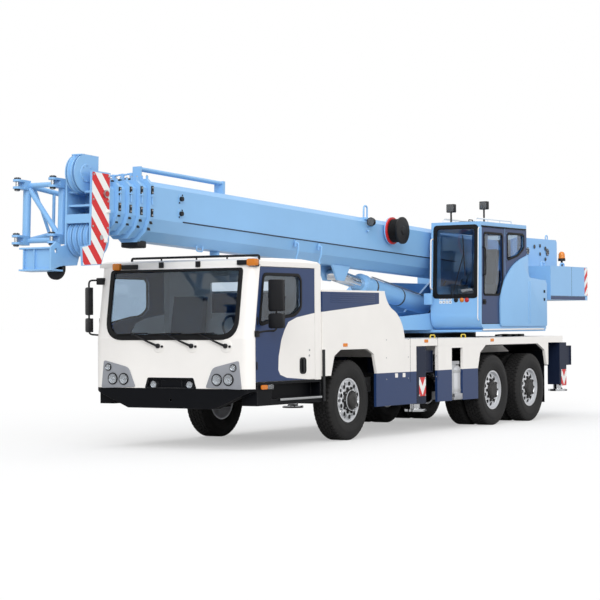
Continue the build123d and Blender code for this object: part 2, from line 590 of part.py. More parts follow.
tank_window = block(*TANK_WINDOW, *THROUGH_SHEET, SKIRT_BOTTOM - 10, 1210)
rear_cut = side_plate(REAR_ARCH, *THROUGH_SHEET)
rear_low = block(SIDE_REAR_X - 10, ARCH_BACK + 90, *THROUGH_SHEET, SKIRT_BOTTOM - 10, SKIRT_TOP)
side_sheet = side_sheet - [out_window, tank_window, rear_cut, rear_low]
keep("side_panels", both_sides(side_sheet))

# mudguards over the twin wheels: the arch line and the same line 12 mm inside
GUARD = 12.0
guard_path = REAR_ARCH[1:-1]
guard_inner = [(ARCH_FRONT - GUARD, 890), (ARCH_FRONT - 91, 1122), (ARCH_FRONT - 283, 1228),
               (ARCH_BACK + 343, 1228), (ARCH_BACK + 81, 1121), (ARCH_BACK + GUARD, 890)]
guard = side_plate(guard_path + guard_inner[::-1], DUAL_Y - 325, BODY_HALF - PANEL)
guard_stay = block(BOGIE_X - 35, BOGIE_X + 35, RAIL_OUTER, DUAL_Y - 25, 1240, 1260)
flap = block(ARCH_BACK - GUARD, ARCH_BACK, DUAL_Y - 305, BODY_HALF - PANEL - 5, 280, 1000)
keep("mudguards", both_sides(join(guard, guard_stay, flap)))

# upright silencer in the side window, with its foot and head boxes
silencer_x = sum(TANK_WINDOW) / 2
outer_y = BODY_HALF - PANEL - 5
silencer = [bar_z(140, silencer_x, outer_y - 140, 560, 960),
            block(silencer_x - 170, silencer_x + 170, outer_y - 300, outer_y, 440, 560),
            block(silencer_x - 150, silencer_x + 150, outer_y - 280, outer_y, 960, 1010),
            block(silencer_x - 60, silencer_x + 60, RAIL_OUTER, outer_y - 260, 970, 1000)]
FUEL_INNER_Y = RAIL_OUTER + 130
fuel_tank = block(-2150, -980, 10 - outer_y, -FUEL_INNER_Y, 520, 1020)
fuel_strap = [block(x - 40, x + 40, -FUEL_INNER_Y, -RAIL_OUTER, 860, 900) for x in (-1900, -1200)]
keep("tanks", join(silencer), join(fuel_tank, fuel_strap))


# ================================================================ outriggers
def outrigger_box(x):
    """Two bays side by side.  Each reaches the far side and stops short of
    its own beam's jack."""
    half = BOX_LENGTH / 2
    low = BEAM_BOTTOM - BOX_WALL
    high = BEAM_BOTTOM + BEAM_HEIGHT + 2 * BEAM_CLEARANCE + BOX_WALL
    short, reach = JACK_Y - JACK_CASE / 2 - 15, BODY_HALF - 65
    shell = [block(x, x + half, -reach, short, low, high), block(x - half, x, -short, reach, low, high)]
    bays = [block(x + side * BAY_OFFSET - BEAM_LENGTH_X / 2 - 5,
                  x + side * BAY_OFFSET + BEAM_LENGTH_X / 2 + 5, -BODY_HALF - 55, BODY_HALF + 55,
                  BEAM_BOTTOM, BEAM_BOTTOM + BEAM_HEIGHT + 2 * BEAM_CLEARANCE)
            for side in (-1, 1)]
    saddles = both_sides(block(x - half, x + half, RAIL_INNER, RAIL_OUTER, high, BEARER_TOP))
    return join(shell, saddles) - bays


keep("outrigger_boxes", *[outrigger_box(x) for x, _ in OUTRIGGERS.values()])
nodes["deck"] = nodes["deck"] - nodes["outrigger_boxes"]


def outrigger_beam(x, float_z):
    """Left beam with the case of its jack; the front bay is the left beam's."""
    bay = x + BAY_OFFSET
    low = BEAM_BOTTOM + BEAM_CLEARANCE
    case_low = float_z + 110
    beam = block(bay - BEAM_LENGTH_X / 2, bay + BEAM_LENGTH_X / 2, -BEAM_INNER_Y,
                 JACK_Y - JACK_CASE / 2, low, low + BEAM_HEIGHT)
    case = block(bay - BEAM_LENGTH_X / 2, bay + BEAM_LENGTH_X / 2, JACK_Y - JACK_CASE / 2,
                 JACK_Y + JACK_CASE / 2, case_low, JACK_TOP)
    bore = bar_z(JACK_ROD_RADIUS + SPINDLE_CLEARANCE, bay, JACK_Y, case_low - 5, JACK_TOP - 20)
    return join(beam, case) - bore


def outrigger_jack(x, float_z):
    bay = x + BAY_OFFSET
    rod = bar_z(JACK_ROD_RADIUS, bay, JACK_Y, float_z + 35, JACK_TOP - 30)
    foot = bar_z(FLOAT_RADIUS, bay, JACK_Y, float_z, float_z + 35)
    return join(rod, foot)


for place, (x, float_z) in OUTRIGGERS.items():
    for side, about in (("left", None), ("right", Pos(2 * x, 0, 0) * Rot(0, 0, 180))):
        beam, jack = outrigger_beam(x, float_z), outrigger_jack(x, float_z)
        if about is not None:
            beam, jack = about * beam, about * jack
        keep(f"outrigger_beam_{place}_{side}", beam)
        keep(f"outrigger_jack_{place}_{side}", jack)


# ================================================================ superstructure
lower_ring = (bar_z(SLEW_RADIUS, SLEW_X, 0, DECK_TOP, SLEW_SPLIT - SLEW_GAP)
              - bar_z(SLEW_RADIUS - 150, SLEW_X, 0, DECK_TOP - 5, SLEW_SPLIT + 5))
keep("slew_ring", lower_ring)

SHELF = (1440.0, OPCAB_BOTTOM)
upper_ring = (bar_z(SLEW_RADIUS, SLEW_X, 0, SLEW_SPLIT, OPCAB_BOTTOM)
              - bar_z(SLEW_RADIUS - 150, SLEW_X, 0, SLEW_SPLIT - 5, SHELF[0]))
table = block(-5200, -1360, -610, OPCAB_INNER_Y - 15, OPCAB_BOTTOM, TABLE_TOP)
shelf = block(-4790, -2420, -1200, 1230, *SHELF)
PLATE_SIDE = [(-1400, TABLE_TOP), (-1400, 1680), (-2900, 1760), (-3800, 2260), (-4300, 2860),
              (-4420, 2940), (-4760, 2940), (-4900, 2800), (-4900, 2560), (-4975, 2510),
              (-4975, 1950), (-5200, 1850), (-5200, TABLE_TOP)]
HOUSE_FRONT_X = -4900.0
HOUSE_REAR_X = -6690.0
foot_plates = both_sides(side_plate(PLATE_SIDE, SIDE_PLATE_Y, SIDE_PLATE_Y + SIDE_PLATE))
house_floor = block(HOUSE_REAR_X, HOUSE_FRONT_X, -WINCH_HOUSE_Y, WINCH_HOUSE_Y, WEIGHT_TOP, 2550)
house_walls = both_sides(side_plate([(HOUSE_FRONT_X, 2550), (HOUSE_FRONT_X, 2960),
                                     (-5100, WINCH_HOUSE_TOP), (HOUSE_REAR_X + 40, WINCH_HOUSE_TOP),
                                     (HOUSE_REAR_X, 2960), (HOUSE_REAR_X, 2550)],
                                    WINCH_HOUSE_Y - PANEL, WINCH_HOUSE_Y))
boom_pin = bar_y(PIVOT_PIN_RADIUS, PIVOT_X, -SIDE_PLATE_Y - SIDE_PLATE - 20,
                 SIDE_PLATE_Y + SIDE_PLATE + 20, PIVOT_Z)
foot_pin = bar_y(FOOT_PIN_RADIUS, FOOT_X, -SIDE_PLATE_Y, SIDE_PLATE_Y, FOOT_Z)
keep("turntable", join([upper_ring, table, shelf] + foot_plates + [house_floor] + house_walls
                       + [boom_pin, foot_pin])
     - block(WEIGHT_REAR_X, WEIGHT_FRONT_X, -WEIGHT_HALF, WEIGHT_HALF, WEIGHT_BOTTOM, WEIGHT_TOP))

weight_plan = [(WEIGHT_FRONT_X, -WEIGHT_HALF), (WEIGHT_FRONT_X, WEIGHT_HALF),
               (WEIGHT_REAR_X + 200, WEIGHT_HALF), (WEIGHT_REAR_X + 130, 1000),
               (WEIGHT_REAR_X, 500), (WEIGHT_REAR_X, -500), (WEIGHT_REAR_X + 130, -1000),
               (WEIGHT_REAR_X + 200, -WEIGHT_HALF)]
keep("counterweight", flat_plate(weight_plan, WEIGHT_BOTTOM, WEIGHT_TOP))

WINCHES = [(-5480.0, 190.0), (-6280.0, 190.0)]   # x and drum radius
WINCH_Z = 2780.0
drums = []
for x, radius in WINCHES:
    flange = both_sides(bar_y(radius + 30, x, 430, 455, WINCH_Z))
    drums.append(join(bar_y(radius, x, -430, 430, WINCH_Z), flange,
                      bar_y(70, x, -WINCH_HOUSE_Y + PANEL, WINCH_HOUSE_Y - PANEL, WINCH_Z)))
keep("winch_drums", *drums)


def cab_side_outline(margin):
    """Side of the operator's cab, with its rounded lower front corner."""
    return [(OPCAB_REAR_X + margin, OPCAB_BOTTOM + margin), (OPCAB_REAR_X + margin, OPCAB_TOP),
            (OPCAB_FRONT_X - 45 - margin, OPCAB_TOP), (OPCAB_FRONT_X - margin, 1900),
            (OPCAB_FRONT_X - margin, 1720), (OPCAB_FRONT_X - 40 - margin * 0.8, 1560 + margin * 0.4, "via"),
            (OPCAB_FRONT_X - 170, OPCAB_BOTTOM + margin)]


OPCAB_ROOF_Z = OPCAB_TOP - 45
OPWALL = 40.0
OP_SCREEN_Y = (OPCAB_INNER_Y + 75, OPCAB_OUTER_Y - 70)
OP_SCREEN_Z = (1990.0, 3050.0)
OPDOOR_FRONT_X = OPCAB_FRONT_X - 60
OPDOOR_TOP, OPDOOR_BOTTOM = 3050.0, 1560.0
whole = side_plate(cab_side_outline(0), OPCAB_INNER_Y, OPCAB_OUTER_Y)
hollow = side_plate(cab_side_outline(OPWALL), OPCAB_INNER_Y + OPWALL, OPCAB_OUTER_Y - OPWALL)
above = block(OPCAB_REAR_X - 10, OPCAB_FRONT_X + 10, OPCAB_INNER_Y - 10, OPCAB_OUTER_Y + 10,
              OPCAB_ROOF_Z, OPCAB_TOP + 50)
door_hole = side_plate([(OPDOOR_REAR_X, OPDOOR_BOTTOM), (OPDOOR_FRONT_X, OPDOOR_BOTTOM),
                        (OPDOOR_FRONT_X - 25, OPDOOR_TOP), (OPDOOR_REAR_X, OPDOOR_TOP)],
                       OPCAB_OUTER_Y - OPWALL - 5, OPCAB_OUTER_Y + 5)
screen_cut = block(OPCAB_FRONT_X - 120, OPCAB_FRONT_X + 10, *OP_SCREEN_Y, *OP_SCREEN_Z)
quarter = side_plate([(-3330, 2560), (-3330, 2980), (-3950, 2980), (-3950, 2760), (-3720, 2640)],
                     OPCAB_OUTER_Y - OPWALL - 5, OPCAB_OUTER_Y + 5)
inner_window = block(-3800, -2620, OPCAB_INNER_Y - 5, OPCAB_INNER_Y + OPWALL + 5, 2150, 2990)
rear_window = block(OPCAB_REAR_X - 5, OPCAB_REAR_X + OPWALL + 5, 560, 1100, 2420, 2980)
keep("operator_cab", join(whole - hollow - door_hole - screen_cut - quarter - inner_window
                          - rear_window - above, whole & above))

glass_slab = side_plate([(OPCAB_FRONT_X - 12, 1900), (OPCAB_FRONT_X - 57, OPCAB_TOP),
                         (OPCAB_FRONT_X - 63, OPCAB_TOP), (OPCAB_FRONT_X - 18, 1900)],
                        OPCAB_INNER_Y, OPCAB_OUTER_Y)
side_glass = block(-4100, -2400, OPCAB_OUTER_Y - 25, OPCAB_OUTER_Y - 19, 2500, 3040) & quarter
keep("operator_cab_glass", glass_slab & screen_cut, side_glass,
     block(-3800, -2620, OPCAB_INNER_Y + 18, OPCAB_INNER_Y + 24, 2150, 2990),
     block(OPCAB_REAR_X + 18, OPCAB_REAR_X + 24, 560, 1100, 2420, 2980))

g = DOOR_GAP
op_panel = side_plate([(OPDOOR_REAR_X + g, OPDOOR_BOTTOM + g), (OPDOOR_FRONT_X - g, OPDOOR_BOTTOM + g),
                       (OPDOOR_FRONT_X - g - 25, OPDOOR_TOP - g), (OPDOOR_REAR_X + g, OPDOOR_TOP - g)],
                      OPCAB_OUTER_Y - OPWALL, OPCAB_OUTER_Y)
op_window = side_plate([(-2490, 2010), (-2505, 2960), (-3160, 2960), (-3160, 2230), (-3040, 2010)],
                       OPCAB_OUTER_Y - OPWALL - 5, OPCAB_OUTER_Y + 5)
op_leaves = [block(OPDOOR_REAR_X + HINGE_FIT, OPDOOR_REAR_X + 60, OPCAB_OUTER_Y - 22, OPCAB_OUTER_Y,
                   z - 50, z + 50) for z in (1750, 2880)]
keep("operator_cab_door", join([op_panel - op_window] + op_leaves))

OP_FLOOR = OPCAB_BOTTOM + OPWALL
OP_SEAT = [(-3100, 1980), (-3400, 2100), (-3560, 2720), (-3460, 2740), (-3300, 2130), (-2880, 2110),
           (-2870, 2000), (-2980, 1960), (-3000, OP_FLOOR), (-3220, OP_FLOOR), (-3220, 1960)]
consoles = [block(-3250, -2800, y - 40, y + 40, OP_FLOOR, 2180) for y in (560, 1060)]
keep("operator_seat", side_plate(OP_SEAT[1:], 620, 1000), *consoles)

step_block = block(-4785, OPCAB_REAR_X - 10, 620, BODY_HALF, OPCAB_BOTTOM, 2270)
cabinet = side_plate([(-4700, OPCAB_BOTTOM), (-4700, 2150), (-4600, 2230), (-2700, 2230),
                      (-2480, 2100), (-2480, OPCAB_BOTTOM)], -1195, -620)
keep("upper_housings", step_block, cabinet)


# ================================================================ boom
BOOM_HALF = max(y for y, _ in BOOM_OUTLINE)
BOOM_ROOF = max(z for _, z in BOOM_OUTLINE)
BOOM_FLOOR = min(z for _, z in BOOM_OUTLINE)


def boom_outline(inset):
    """The outer section's outline, drawn in so that its sides, top and
    bottom all move by the inset."""
    middle, half = (BOOM_ROOF + BOOM_FLOOR) / 2, (BOOM_ROOF - BOOM_FLOOR) / 2
    wide, tall = 1 - inset / BOOM_HALF, 1 - inset / half
    right = [(y * wide, middle + (z - middle) * tall) for y, z in BOOM_OUTLINE]
    return right + [(-y, z) for y, z in reversed(right)]


def boom_tube(inset_out, inset_in, x0, x1):
    """A length of boom wall between two insets of the outer outline."""
    return (cross_plate(boom_outline(inset_out), x0, x1)
            - cross_plate(boom_outline(inset_in), x0 - 1, x1 + 1))


def boom_section(index):
    """Wall, nose collar round the next section, and tail pads in the one before."""
    tail, nose = BOOM_ENDS[index]
    skin_inset = index * BOOM_STEP
    wall_inset = skin_inset + BOOM_WALL
    pieces = [boom_tube(skin_inset, wall_inset, tail, nose)]
    if index < len(BOOM_ENDS) - 1:
        pieces.append(boom_tube(skin_inset - COLLAR_STANDOUT, skin_inset + BOOM_STEP - PAD_CLEARANCE,
                                nose - COLLAR_LENGTH, nose))
    if index > 0:
        pieces.append(boom_tube(skin_inset - BOOM_STEP + BOOM_WALL + PAD_CLEARANCE, wall_inset,
                                tail, tail + TAIL_PAD_LENGTH))
    return join(*pieces)


pivot_bore = bar_y(PIVOT_PIN_RADIUS + SPINDLE_CLEARANCE, 0, -400, 400, 0)
bosses = both_sides(bar_y(130, 0, 288, SIDE_PLATE_Y - 10, 0))
lug_top = BOOM_FLOOR + BOOM_WALL / 2
eye_lugs = both_sides(side_plate([(ROD_EYE_X - 260, lug_top), (ROD_EYE_X - 100, ROD_EYE_Z - 90),
                                  (ROD_EYE_X + 100, ROD_EYE_Z - 90), (ROD_EYE_X + 260, lug_top)],
                                 98, 128))
keep("boom_base", boom_place(join(boom_section(0), bosses, eye_lugs) - pivot_bore))
for index in (1, 2, 3):
    keep(f"boom_section_{index + 1}", boom_place(boom_section(index)))

# side plate of the head: a tall cheek with a foot round the lower sheaves, (x, z)
HEAD_TOP, HEAD_FOOT = 245.0, -905.0
HEAD_SIDE = [(HEAD_REAR_X, HEAD_TOP), (HEAD_REAR_X, -500), (10235, -695), (10300, HEAD_FOOT + 35),
             (10660, HEAD_FOOT), (10685, -680), (HEAD_FRONT_X, -640), (HEAD_FRONT_X, HEAD_TOP)]
SHEAVE_X, SHEAVE_Z = 10316.0, -545.0
TOP_SHEAVE_X, TOP_SHEAVE_Z = 10468.0, 216.0
HEAD_INNER = HEAD_HALF - HEAD_PLATE
SHEAVE_PITCH, SHEAVE_WIDTH = 80.0, 60.0
plates = both_sides(side_plate(HEAD_SIDE, HEAD_INNER, HEAD_HALF))
shelves = [block(HEAD_REAR_X, HEAD_FRONT_X - 40, -HEAD_INNER, HEAD_INNER, z - 25, z) for z in (8, -156)]
shelves.append(block(HEAD_FRONT_X - 20, HEAD_FRONT_X, -HEAD_INNER, HEAD_INNER, -382, -274))
flange = cross_plate([(-HEAD_HALF, -430), (HEAD_HALF, -430), (HEAD_HALF, 185), (-HEAD_HALF, 185)],
                     HEAD_REAR_X, HEAD_REAR_X + 20)
slot_low, slot_rear = TOP_SHEAVE_Z - TOP_SHEAVE_RADIUS - 20, TOP_SHEAVE_X - TOP_SHEAVE_RADIUS - 20
top_slot = block(slot_rear, HEAD_FRONT_X + 50, -58, 58, slot_low, 480)
cheek = join(bar_y(TOP_SHEAVE_RADIUS - 8, TOP_SHEAVE_X, 58, 72, TOP_SHEAVE_Z),
             block(slot_rear + 20, TOP_SHEAVE_X, 58, 72, slot_low + 10, TOP_SHEAVE_Z + TOP_SHEAVE_RADIUS - 8))

# bracket on the right plate's foot that carries the jib's root, with its roller
BRACKET = (10560.0, 10800.0)                    # along the boom
BRACKET_Y, BRACKET_LOW, BRACKET_HIGH = -660.0, -960.0, -680.0
ROLLER_X, ROLLER_Y, ROLLER_Z, ROLLER_RADIUS = 10530.0, -306.0, -925.0, 130.0
foot_plate = side_plate([(10620, HEAD_FOOT + 5), (10620, -640), (10700, -610), (BRACKET[1], BRACKET_HIGH),
                         (BRACKET[1], BRACKET_LOW)], -HEAD_HALF, -HEAD_INNER)
flanges = [block(*BRACKET, BRACKET_Y, -HEAD_INNER, z, z + 20) for z in (BRACKET_LOW, BRACKET_HIGH - 20)]
web = block(BRACKET[1] - 60, BRACKET[1] - 40, BRACKET_Y + 40, -HEAD_INNER, BRACKET_LOW, BRACKET_HIGH)
ribs = [block(BRACKET[0] + 20, BRACKET[1] - 10, y - 8, y + 8, BRACKET_LOW, BRACKET_HIGH)
        for y in (BRACKET_Y + 60, BRACKET_Y + 220)]
roller_pin = bar_x(25, ROLLER_X - 60, BRACKET[1] - 50, ROLLER_Y, ROLLER_Z)
bracket = join([foot_plate, web, roller_pin] + flanges + ribs) - bar_y(30, 10705, -210, -150, -720)
roller_space = bar_x(ROLLER_RADIUS + 10, ROLLER_X - 40, ROLLER_X + 40, ROLLER_Y, ROLLER_Z) \
    - bar_x(25, ROLLER_X - 60, ROLLER_X + 60, ROLLER_Y, ROLLER_Z)
sheave_space = bar_y(SHEAVE_RADIUS + 15, SHEAVE_X, -HEAD_INNER, HEAD_INNER, SHEAVE_Z)
head = join([join([boom_section(4), flange] + shelves) - sheave_space] + plates) - top_slot
keep("boom_head", boom_place(join([head, bracket] + both_sides(cheek)) - roller_space))

sheaves = [bar_y(SHEAVE_RADIUS, SHEAVE_X, y - SHEAVE_WIDTH / 2, y + SHEAVE_WIDTH / 2, SHEAVE_Z)
           for y in (-1.5 * SHEAVE_PITCH, -SHEAVE_PITCH / 2, SHEAVE_PITCH / 2, 1.5 * SHEAVE_PITCH)]
sheave_pin = bar_y(45, SHEAVE_X, -HEAD_INNER, HEAD_INNER, SHEAVE_Z)
top_sheave = join(bar_y(TOP_SHEAVE_RADIUS, TOP_SHEAVE_X, -40, 40, TOP_SHEAVE_Z),
                  bar_y(40, TOP_SHEAVE_X, -58, 58, TOP_SHEAVE_Z))
roller = bar_x(ROLLER_RADIUS, ROLLER_X - 28, ROLLER_X + 28, ROLLER_Y, ROLLER_Z) \
    - bar_x(25 + PAD_CLEARANCE, ROLLER_X - 40, ROLLER_X + 40, ROLLER_Y, ROLLER_Z)
keep("head_sheaves", boom_place(join(sheaves + [sheave_pin])), boom_place(top_sheave), boom_place(roller))

# ---- luffing cylinder, drawn along its own axis from the foot pin
tilt = math.radians(BOOM_TILT)
EYE_X = PIVOT_X + ROD_EYE_X * math.cos(tilt) - ROD_EYE_Z * math.sin(tilt)
EYE_Z = PIVOT_Z + ROD_EYE_X * math.sin(tilt) + ROD_EYE_Z * math.cos(tilt)
LUFF_LENGTH = math.hypot(EYE_X - FOOT_X, EYE_Z - FOOT_Z)
LUFF_ANGLE = math.degrees(math.atan2(EYE_Z - FOOT_Z, EYE_X - FOOT_X))
BARREL_LENGTH = 2700.0
BARREL_RADIUS = 140.0
BARREL_BORE = 115.0
ROD_RADIUS = 95.0
GLAND = 120.0


def luff_place(shape):
    return Pos(FOOT_X, 0, FOOT_Z) * Rot(0, -LUFF_ANGLE, 0) * shape


barrel = join(bar_x(BARREL_RADIUS, 120, BARREL_LENGTH, 0, 0),
              bar_x(BARREL_RADIUS + 12, BARREL_LENGTH - GLAND, BARREL_LENGTH, 0, 0),
              bar_y(100, 0, -90, 90, 0), block(0, 200, -85, 85, -90, 90))
barrel = barrel - bar_x(BARREL_BORE, 240, BARREL_LENGTH - GLAND, 0, 0)
barrel = barrel - bar_x(ROD_RADIUS + SPINDLE_CLEARANCE, BARREL_LENGTH - GLAND - 5, BARREL_LENGTH + 5, 0, 0)
barrel = barrel - bar_y(FOOT_PIN_RADIUS + SPINDLE_CLEARANCE, 0, -100, 100, 0)
keep("luff_barrel", luff_place(barrel))
luff_rod = join(bar_x(ROD_RADIUS, 320, LUFF_LENGTH - 70, 0, 0),
                bar_x(BARREL_BORE - SPINDLE_CLEARANCE, 260, 380, 0, 0),
                bar_y(80, LUFF_LENGTH, -85, 85, 0)) - bar_y(45, LUFF_LENGTH, -95, 95, 0)
keep("luff_rod", luff_place(luff_rod))

# ---- jib, stowed along the right side of the base section
# its section at the root portal, at the end of the flare and at the tip:
# x, inner y, outer y, top z, bottom z; the root is forward
JIB_SECTIONS = [(10320.0, -400, -950, 125, -555), (9450.0, -425, -800, 30, -320),
                (3500.0, -430, -600, -150, -330)]
JIB_STATIONS = [9890, 9450, 8600, 7750, 6900, 6050, 5200, 4350, JIB_SECTIONS[2][0] + 90]
CHORD, WEB, POST = 32.0, 20.0, 50.0
EAR_GAP, EAR_PLATE, EAR_HALF = 60.0, 28.0, 55.0
EAR_BORE_X = 190.0              # from the portal to the bore of an ear
JIB_BORE_RADIUS = 25.0


def jib_point(corner, x):
    """Corner 0 inner top, 1 outer top, 2 inner bottom, 3 outer bottom."""
    first, second = (JIB_SECTIONS[0:2] if x > JIB_SECTIONS[1][0] else JIB_SECTIONS[1:3])
    share = (first[0] - x) / (first[0] - second[0])
    y, z = [first[i] + share * (second[i] - first[i]) for i in (1 + corner % 2, 3 + corner // 2)]
    return (x, y, z)


root_x, shoulder_x, tip_x = [section[0] for section in JIB_SECTIONS]
jib = [strut(jib_point(c, a), jib_point(c, b), CHORD) for c in range(4)
       for a, b in ((root_x, shoulder_x), (shoulder_x, tip_x))]
jib += [strut(jib_point(a, root_x), jib_point(b, root_x), POST) for a, b in ((0, 2), (1, 3))]
jib += [strut(jib_point(a, root_x), jib_point(b, root_x), CHORD) for a, b in ((0, 1), (2, 3), (1, 2))]
WEB_OFFSET = 55.0               # keeps the ends of the web bars apart on a chord
for x in JIB_STATIONS:
    for a, b, shift in ((0, 2, 0), (1, 3, 0), (0, 1, WEB_OFFSET), (2, 3, WEB_OFFSET)):
        jib.append(strut(jib_point(a, x - shift), jib_point(b, x - shift), WEB))
for first, second in zip([root_x] + JIB_STATIONS, JIB_STATIONS):
    for a, b in ((0, 2), (1, 3)):
        jib.append(strut(jib_point(a, first - 2 * WEB_OFFSET), jib_point(b, second + WEB_OFFSET), WEB))
clevis_bores = []
for c in range(4):
    x, y, z = jib_point(c, root_x)
    low, high = z - EAR_GAP / 2 - EAR_PLATE, z + EAR_GAP / 2 + EAR_PLATE
    jib.append(block(x, x + 110, y - EAR_HALF, y + EAR_HALF, low, high))
    for low in (low, z + EAR_GAP / 2):
        jib.append(block(x + 110, x + EAR_BORE_X, y - EAR_HALF, y + EAR_HALF, low, low + EAR_PLATE))
        jib.append(bar_z(EAR_HALF, x + EAR_BORE_X, y, low, low + EAR_PLATE))
    clevis_bores.append(bar_z(JIB_BORE_RADIUS, x + EAR_BORE_X, y, z - 100, z + 100))
for x in (8300, 4700):
    _, y, z = jib_point(0, x)
    jib.append(block(x - 60, x + 60, y, -BOOM_HALF, z - 30, z + 30))
keep("jib", boom_place(join(jib) - clevis_bores))

# ---- reel, guide tubes and their brackets on the base section
GUIDE_FRONT_X = BOOM_ENDS[0][1] - 5
reel = [bar_y(200, 3400, 330, 375, 76), bar_y(165, 3400, 375, 520, 76), bar_y(200, 3400, 520, 545, 76),
        block(3330, 3470, 300, 335, 0, 150)]
guide = [bar_x(22, 7660, GUIDE_FRONT_X - 5, y, 375) for y in (60, 140)]
guide += [block(7630, 7680, 30, 170, BOOM_ROOF, 400),
          block(GUIDE_FRONT_X - 18, GUIDE_FRONT_X, 35, 165, BOOM_ROOF + COLLAR_STANDOUT, 402)]
keep("boom_fittings", boom_place(join(reel)), boom_place(join(guide)))


# ================================================================ writing
# the drawing's datum lies behind the middle of the crane's plan, which is the origin
os.makedirs("parts", exist_ok=True)
for name, shape in nodes.items():
    export_step(Pos(DATUM_X, 0, 0) * shape, f"parts/{name}.step")
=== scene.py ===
# %% [markdown]
# # A three-axle truck crane, dressed cell by cell
# The construction of the crane comes as a fixed frame: every plate, pin and wheel already has its real
# size and place. This script gives it its looks. Paint, rubber, glass and rope are materials; lamps,
# bolts, wipers, treads and hoses are small meshes. Each cell makes one kind of thing and says why it
# was made that way.
#
# Units are metres. +X is forward, +Y is the crane's left, +Z is up, and z = 0 is the ground.

# %% The frame
import json
import math

import bmesh
import bpy
from mathutils import Matrix, Vector

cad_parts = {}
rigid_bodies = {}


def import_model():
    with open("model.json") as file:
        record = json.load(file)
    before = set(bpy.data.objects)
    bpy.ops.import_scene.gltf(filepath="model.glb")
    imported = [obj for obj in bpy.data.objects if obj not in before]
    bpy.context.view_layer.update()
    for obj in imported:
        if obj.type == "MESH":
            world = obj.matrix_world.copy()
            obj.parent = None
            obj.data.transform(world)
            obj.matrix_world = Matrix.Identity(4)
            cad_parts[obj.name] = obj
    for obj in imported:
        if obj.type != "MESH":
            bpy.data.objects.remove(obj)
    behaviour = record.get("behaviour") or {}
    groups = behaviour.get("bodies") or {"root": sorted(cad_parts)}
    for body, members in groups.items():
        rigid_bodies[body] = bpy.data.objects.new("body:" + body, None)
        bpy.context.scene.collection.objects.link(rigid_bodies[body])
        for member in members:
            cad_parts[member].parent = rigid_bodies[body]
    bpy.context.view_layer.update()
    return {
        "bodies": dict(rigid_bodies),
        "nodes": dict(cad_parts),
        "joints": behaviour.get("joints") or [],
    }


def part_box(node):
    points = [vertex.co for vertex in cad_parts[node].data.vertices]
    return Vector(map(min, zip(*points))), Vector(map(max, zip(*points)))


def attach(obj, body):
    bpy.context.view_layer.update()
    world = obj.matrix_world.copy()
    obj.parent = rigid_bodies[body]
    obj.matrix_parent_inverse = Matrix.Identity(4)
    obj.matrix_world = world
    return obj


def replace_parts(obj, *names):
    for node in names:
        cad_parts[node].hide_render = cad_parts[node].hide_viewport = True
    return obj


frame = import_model()
nodes, bodies = frame["nodes"], frame["bodies"]
joint = {entry["name"]: entry for entry in frame["joints"]}

# %% [markdown]
# ## Places taken from the frame
# Everything that is added later needs to know where the crane's own parts are. A node's box gives that,
# so a change of the construction moves the details with it.

# %% Places
# All lengths below are laid out from a datum that lies behind the middle of the crane's plan.
DATUM = Vector((0.245, 0.0, 0.0))


def corners(node):
    low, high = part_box(node)
    return Vector(low) - DATUM, Vector(high) - DATUM


def joint_place(name):
    return Vector(joint[name]["pos_m"]) - DATUM


CAB_FRONT = corners("cab_front")[1].x
CAB_CROWN = corners("cab_front")[1].z
ROOF_FRONT, ROOF_TOP = corners("cab_roof")[1].x, corners("cab_roof")[1].z
HOUSING_TOP = corners("engine_housing")[1].z
DECK_TOP = corners("deck")[1].z
BODY_FACE = 1.245
SIDES = (("left", 1), ("right", -1))

AXLE_X = joint_place("steer_left").x
WHEEL_Z = joint_place("front_wheel_spin_left").z
FRONT_Y = joint_place("front_wheel_spin_left").y
REAR_X = [joint_place(f"rear_wheel_spin_{n}_left").x for n in (1, 2)]
DUAL_Y = joint_place("rear_wheel_spin_1_left").y
TYRE_RADIUS = corners("front_tyre_left")[1].z - WHEEL_Z
TYRE_HALF = (corners("front_tyre_left")[1].y - corners("front_tyre_left")[0].y) / 2
PIVOT = joint_place("boom_luff")
LUFF_FOOT = joint_place("luff_barrel_swing")
ALONG_BOOM = Vector(joint["boom_extend_2"]["axis"]).normalized()
BOOM_TILT = math.atan2(ALONG_BOOM.z, ALONG_BOOM.x)
LUFF_TILT = math.atan2(joint["luff_rod_slide"]["axis"][2], joint["luff_rod_slide"]["axis"][0])
print("boom tilt", round(math.degrees(BOOM_TILT), 2), "cylinder", round(math.degrees(LUFF_TILT), 2))

# %% [markdown]
# ## Small shape helpers
# A machine like this is mostly folded plate, turned rings and bars. Plate is either a slab with rounded
# edges or a prism pushed out of an outline. Each helper adds its part to an open mesh, so many bolts or
# louvres end up in one object. `bmesh` is used because it builds exact shapes from numbers.

# %% Shape helpers
AXES = {"x": Vector((1, 0, 0)), "y": Vector((0, 1, 0)), "z": Vector((0, 0, 1))}


def meshes(count):
    """Open several empty shapes."""
    return [bmesh.new() for _ in range(count)]


def merge(shape, part, place=None):
    """Copy a finished part into a shape, moved by a matrix."""
    mesh = bpy.data.meshes.new("part")
    part.to_mesh(mesh)
    part.free()
    if place is not None:
        mesh.transform(place)
    shape.from_mesh(mesh)
    bpy.data.meshes.remove(mesh)


def round_edges(part, width, segments=2, limit=30):
    """Bevel the edges of a part that turn by more than a limit."""
    sharp = [e for e in part.edges if len(e.link_faces) == 2
             and math.degrees(e.calc_face_angle(0)) > limit]
    bmesh.ops.bevel(part, geom=sharp, offset=width, segments=segments, profile=0.6,
                    affect="EDGES", clamp_overlap=True)


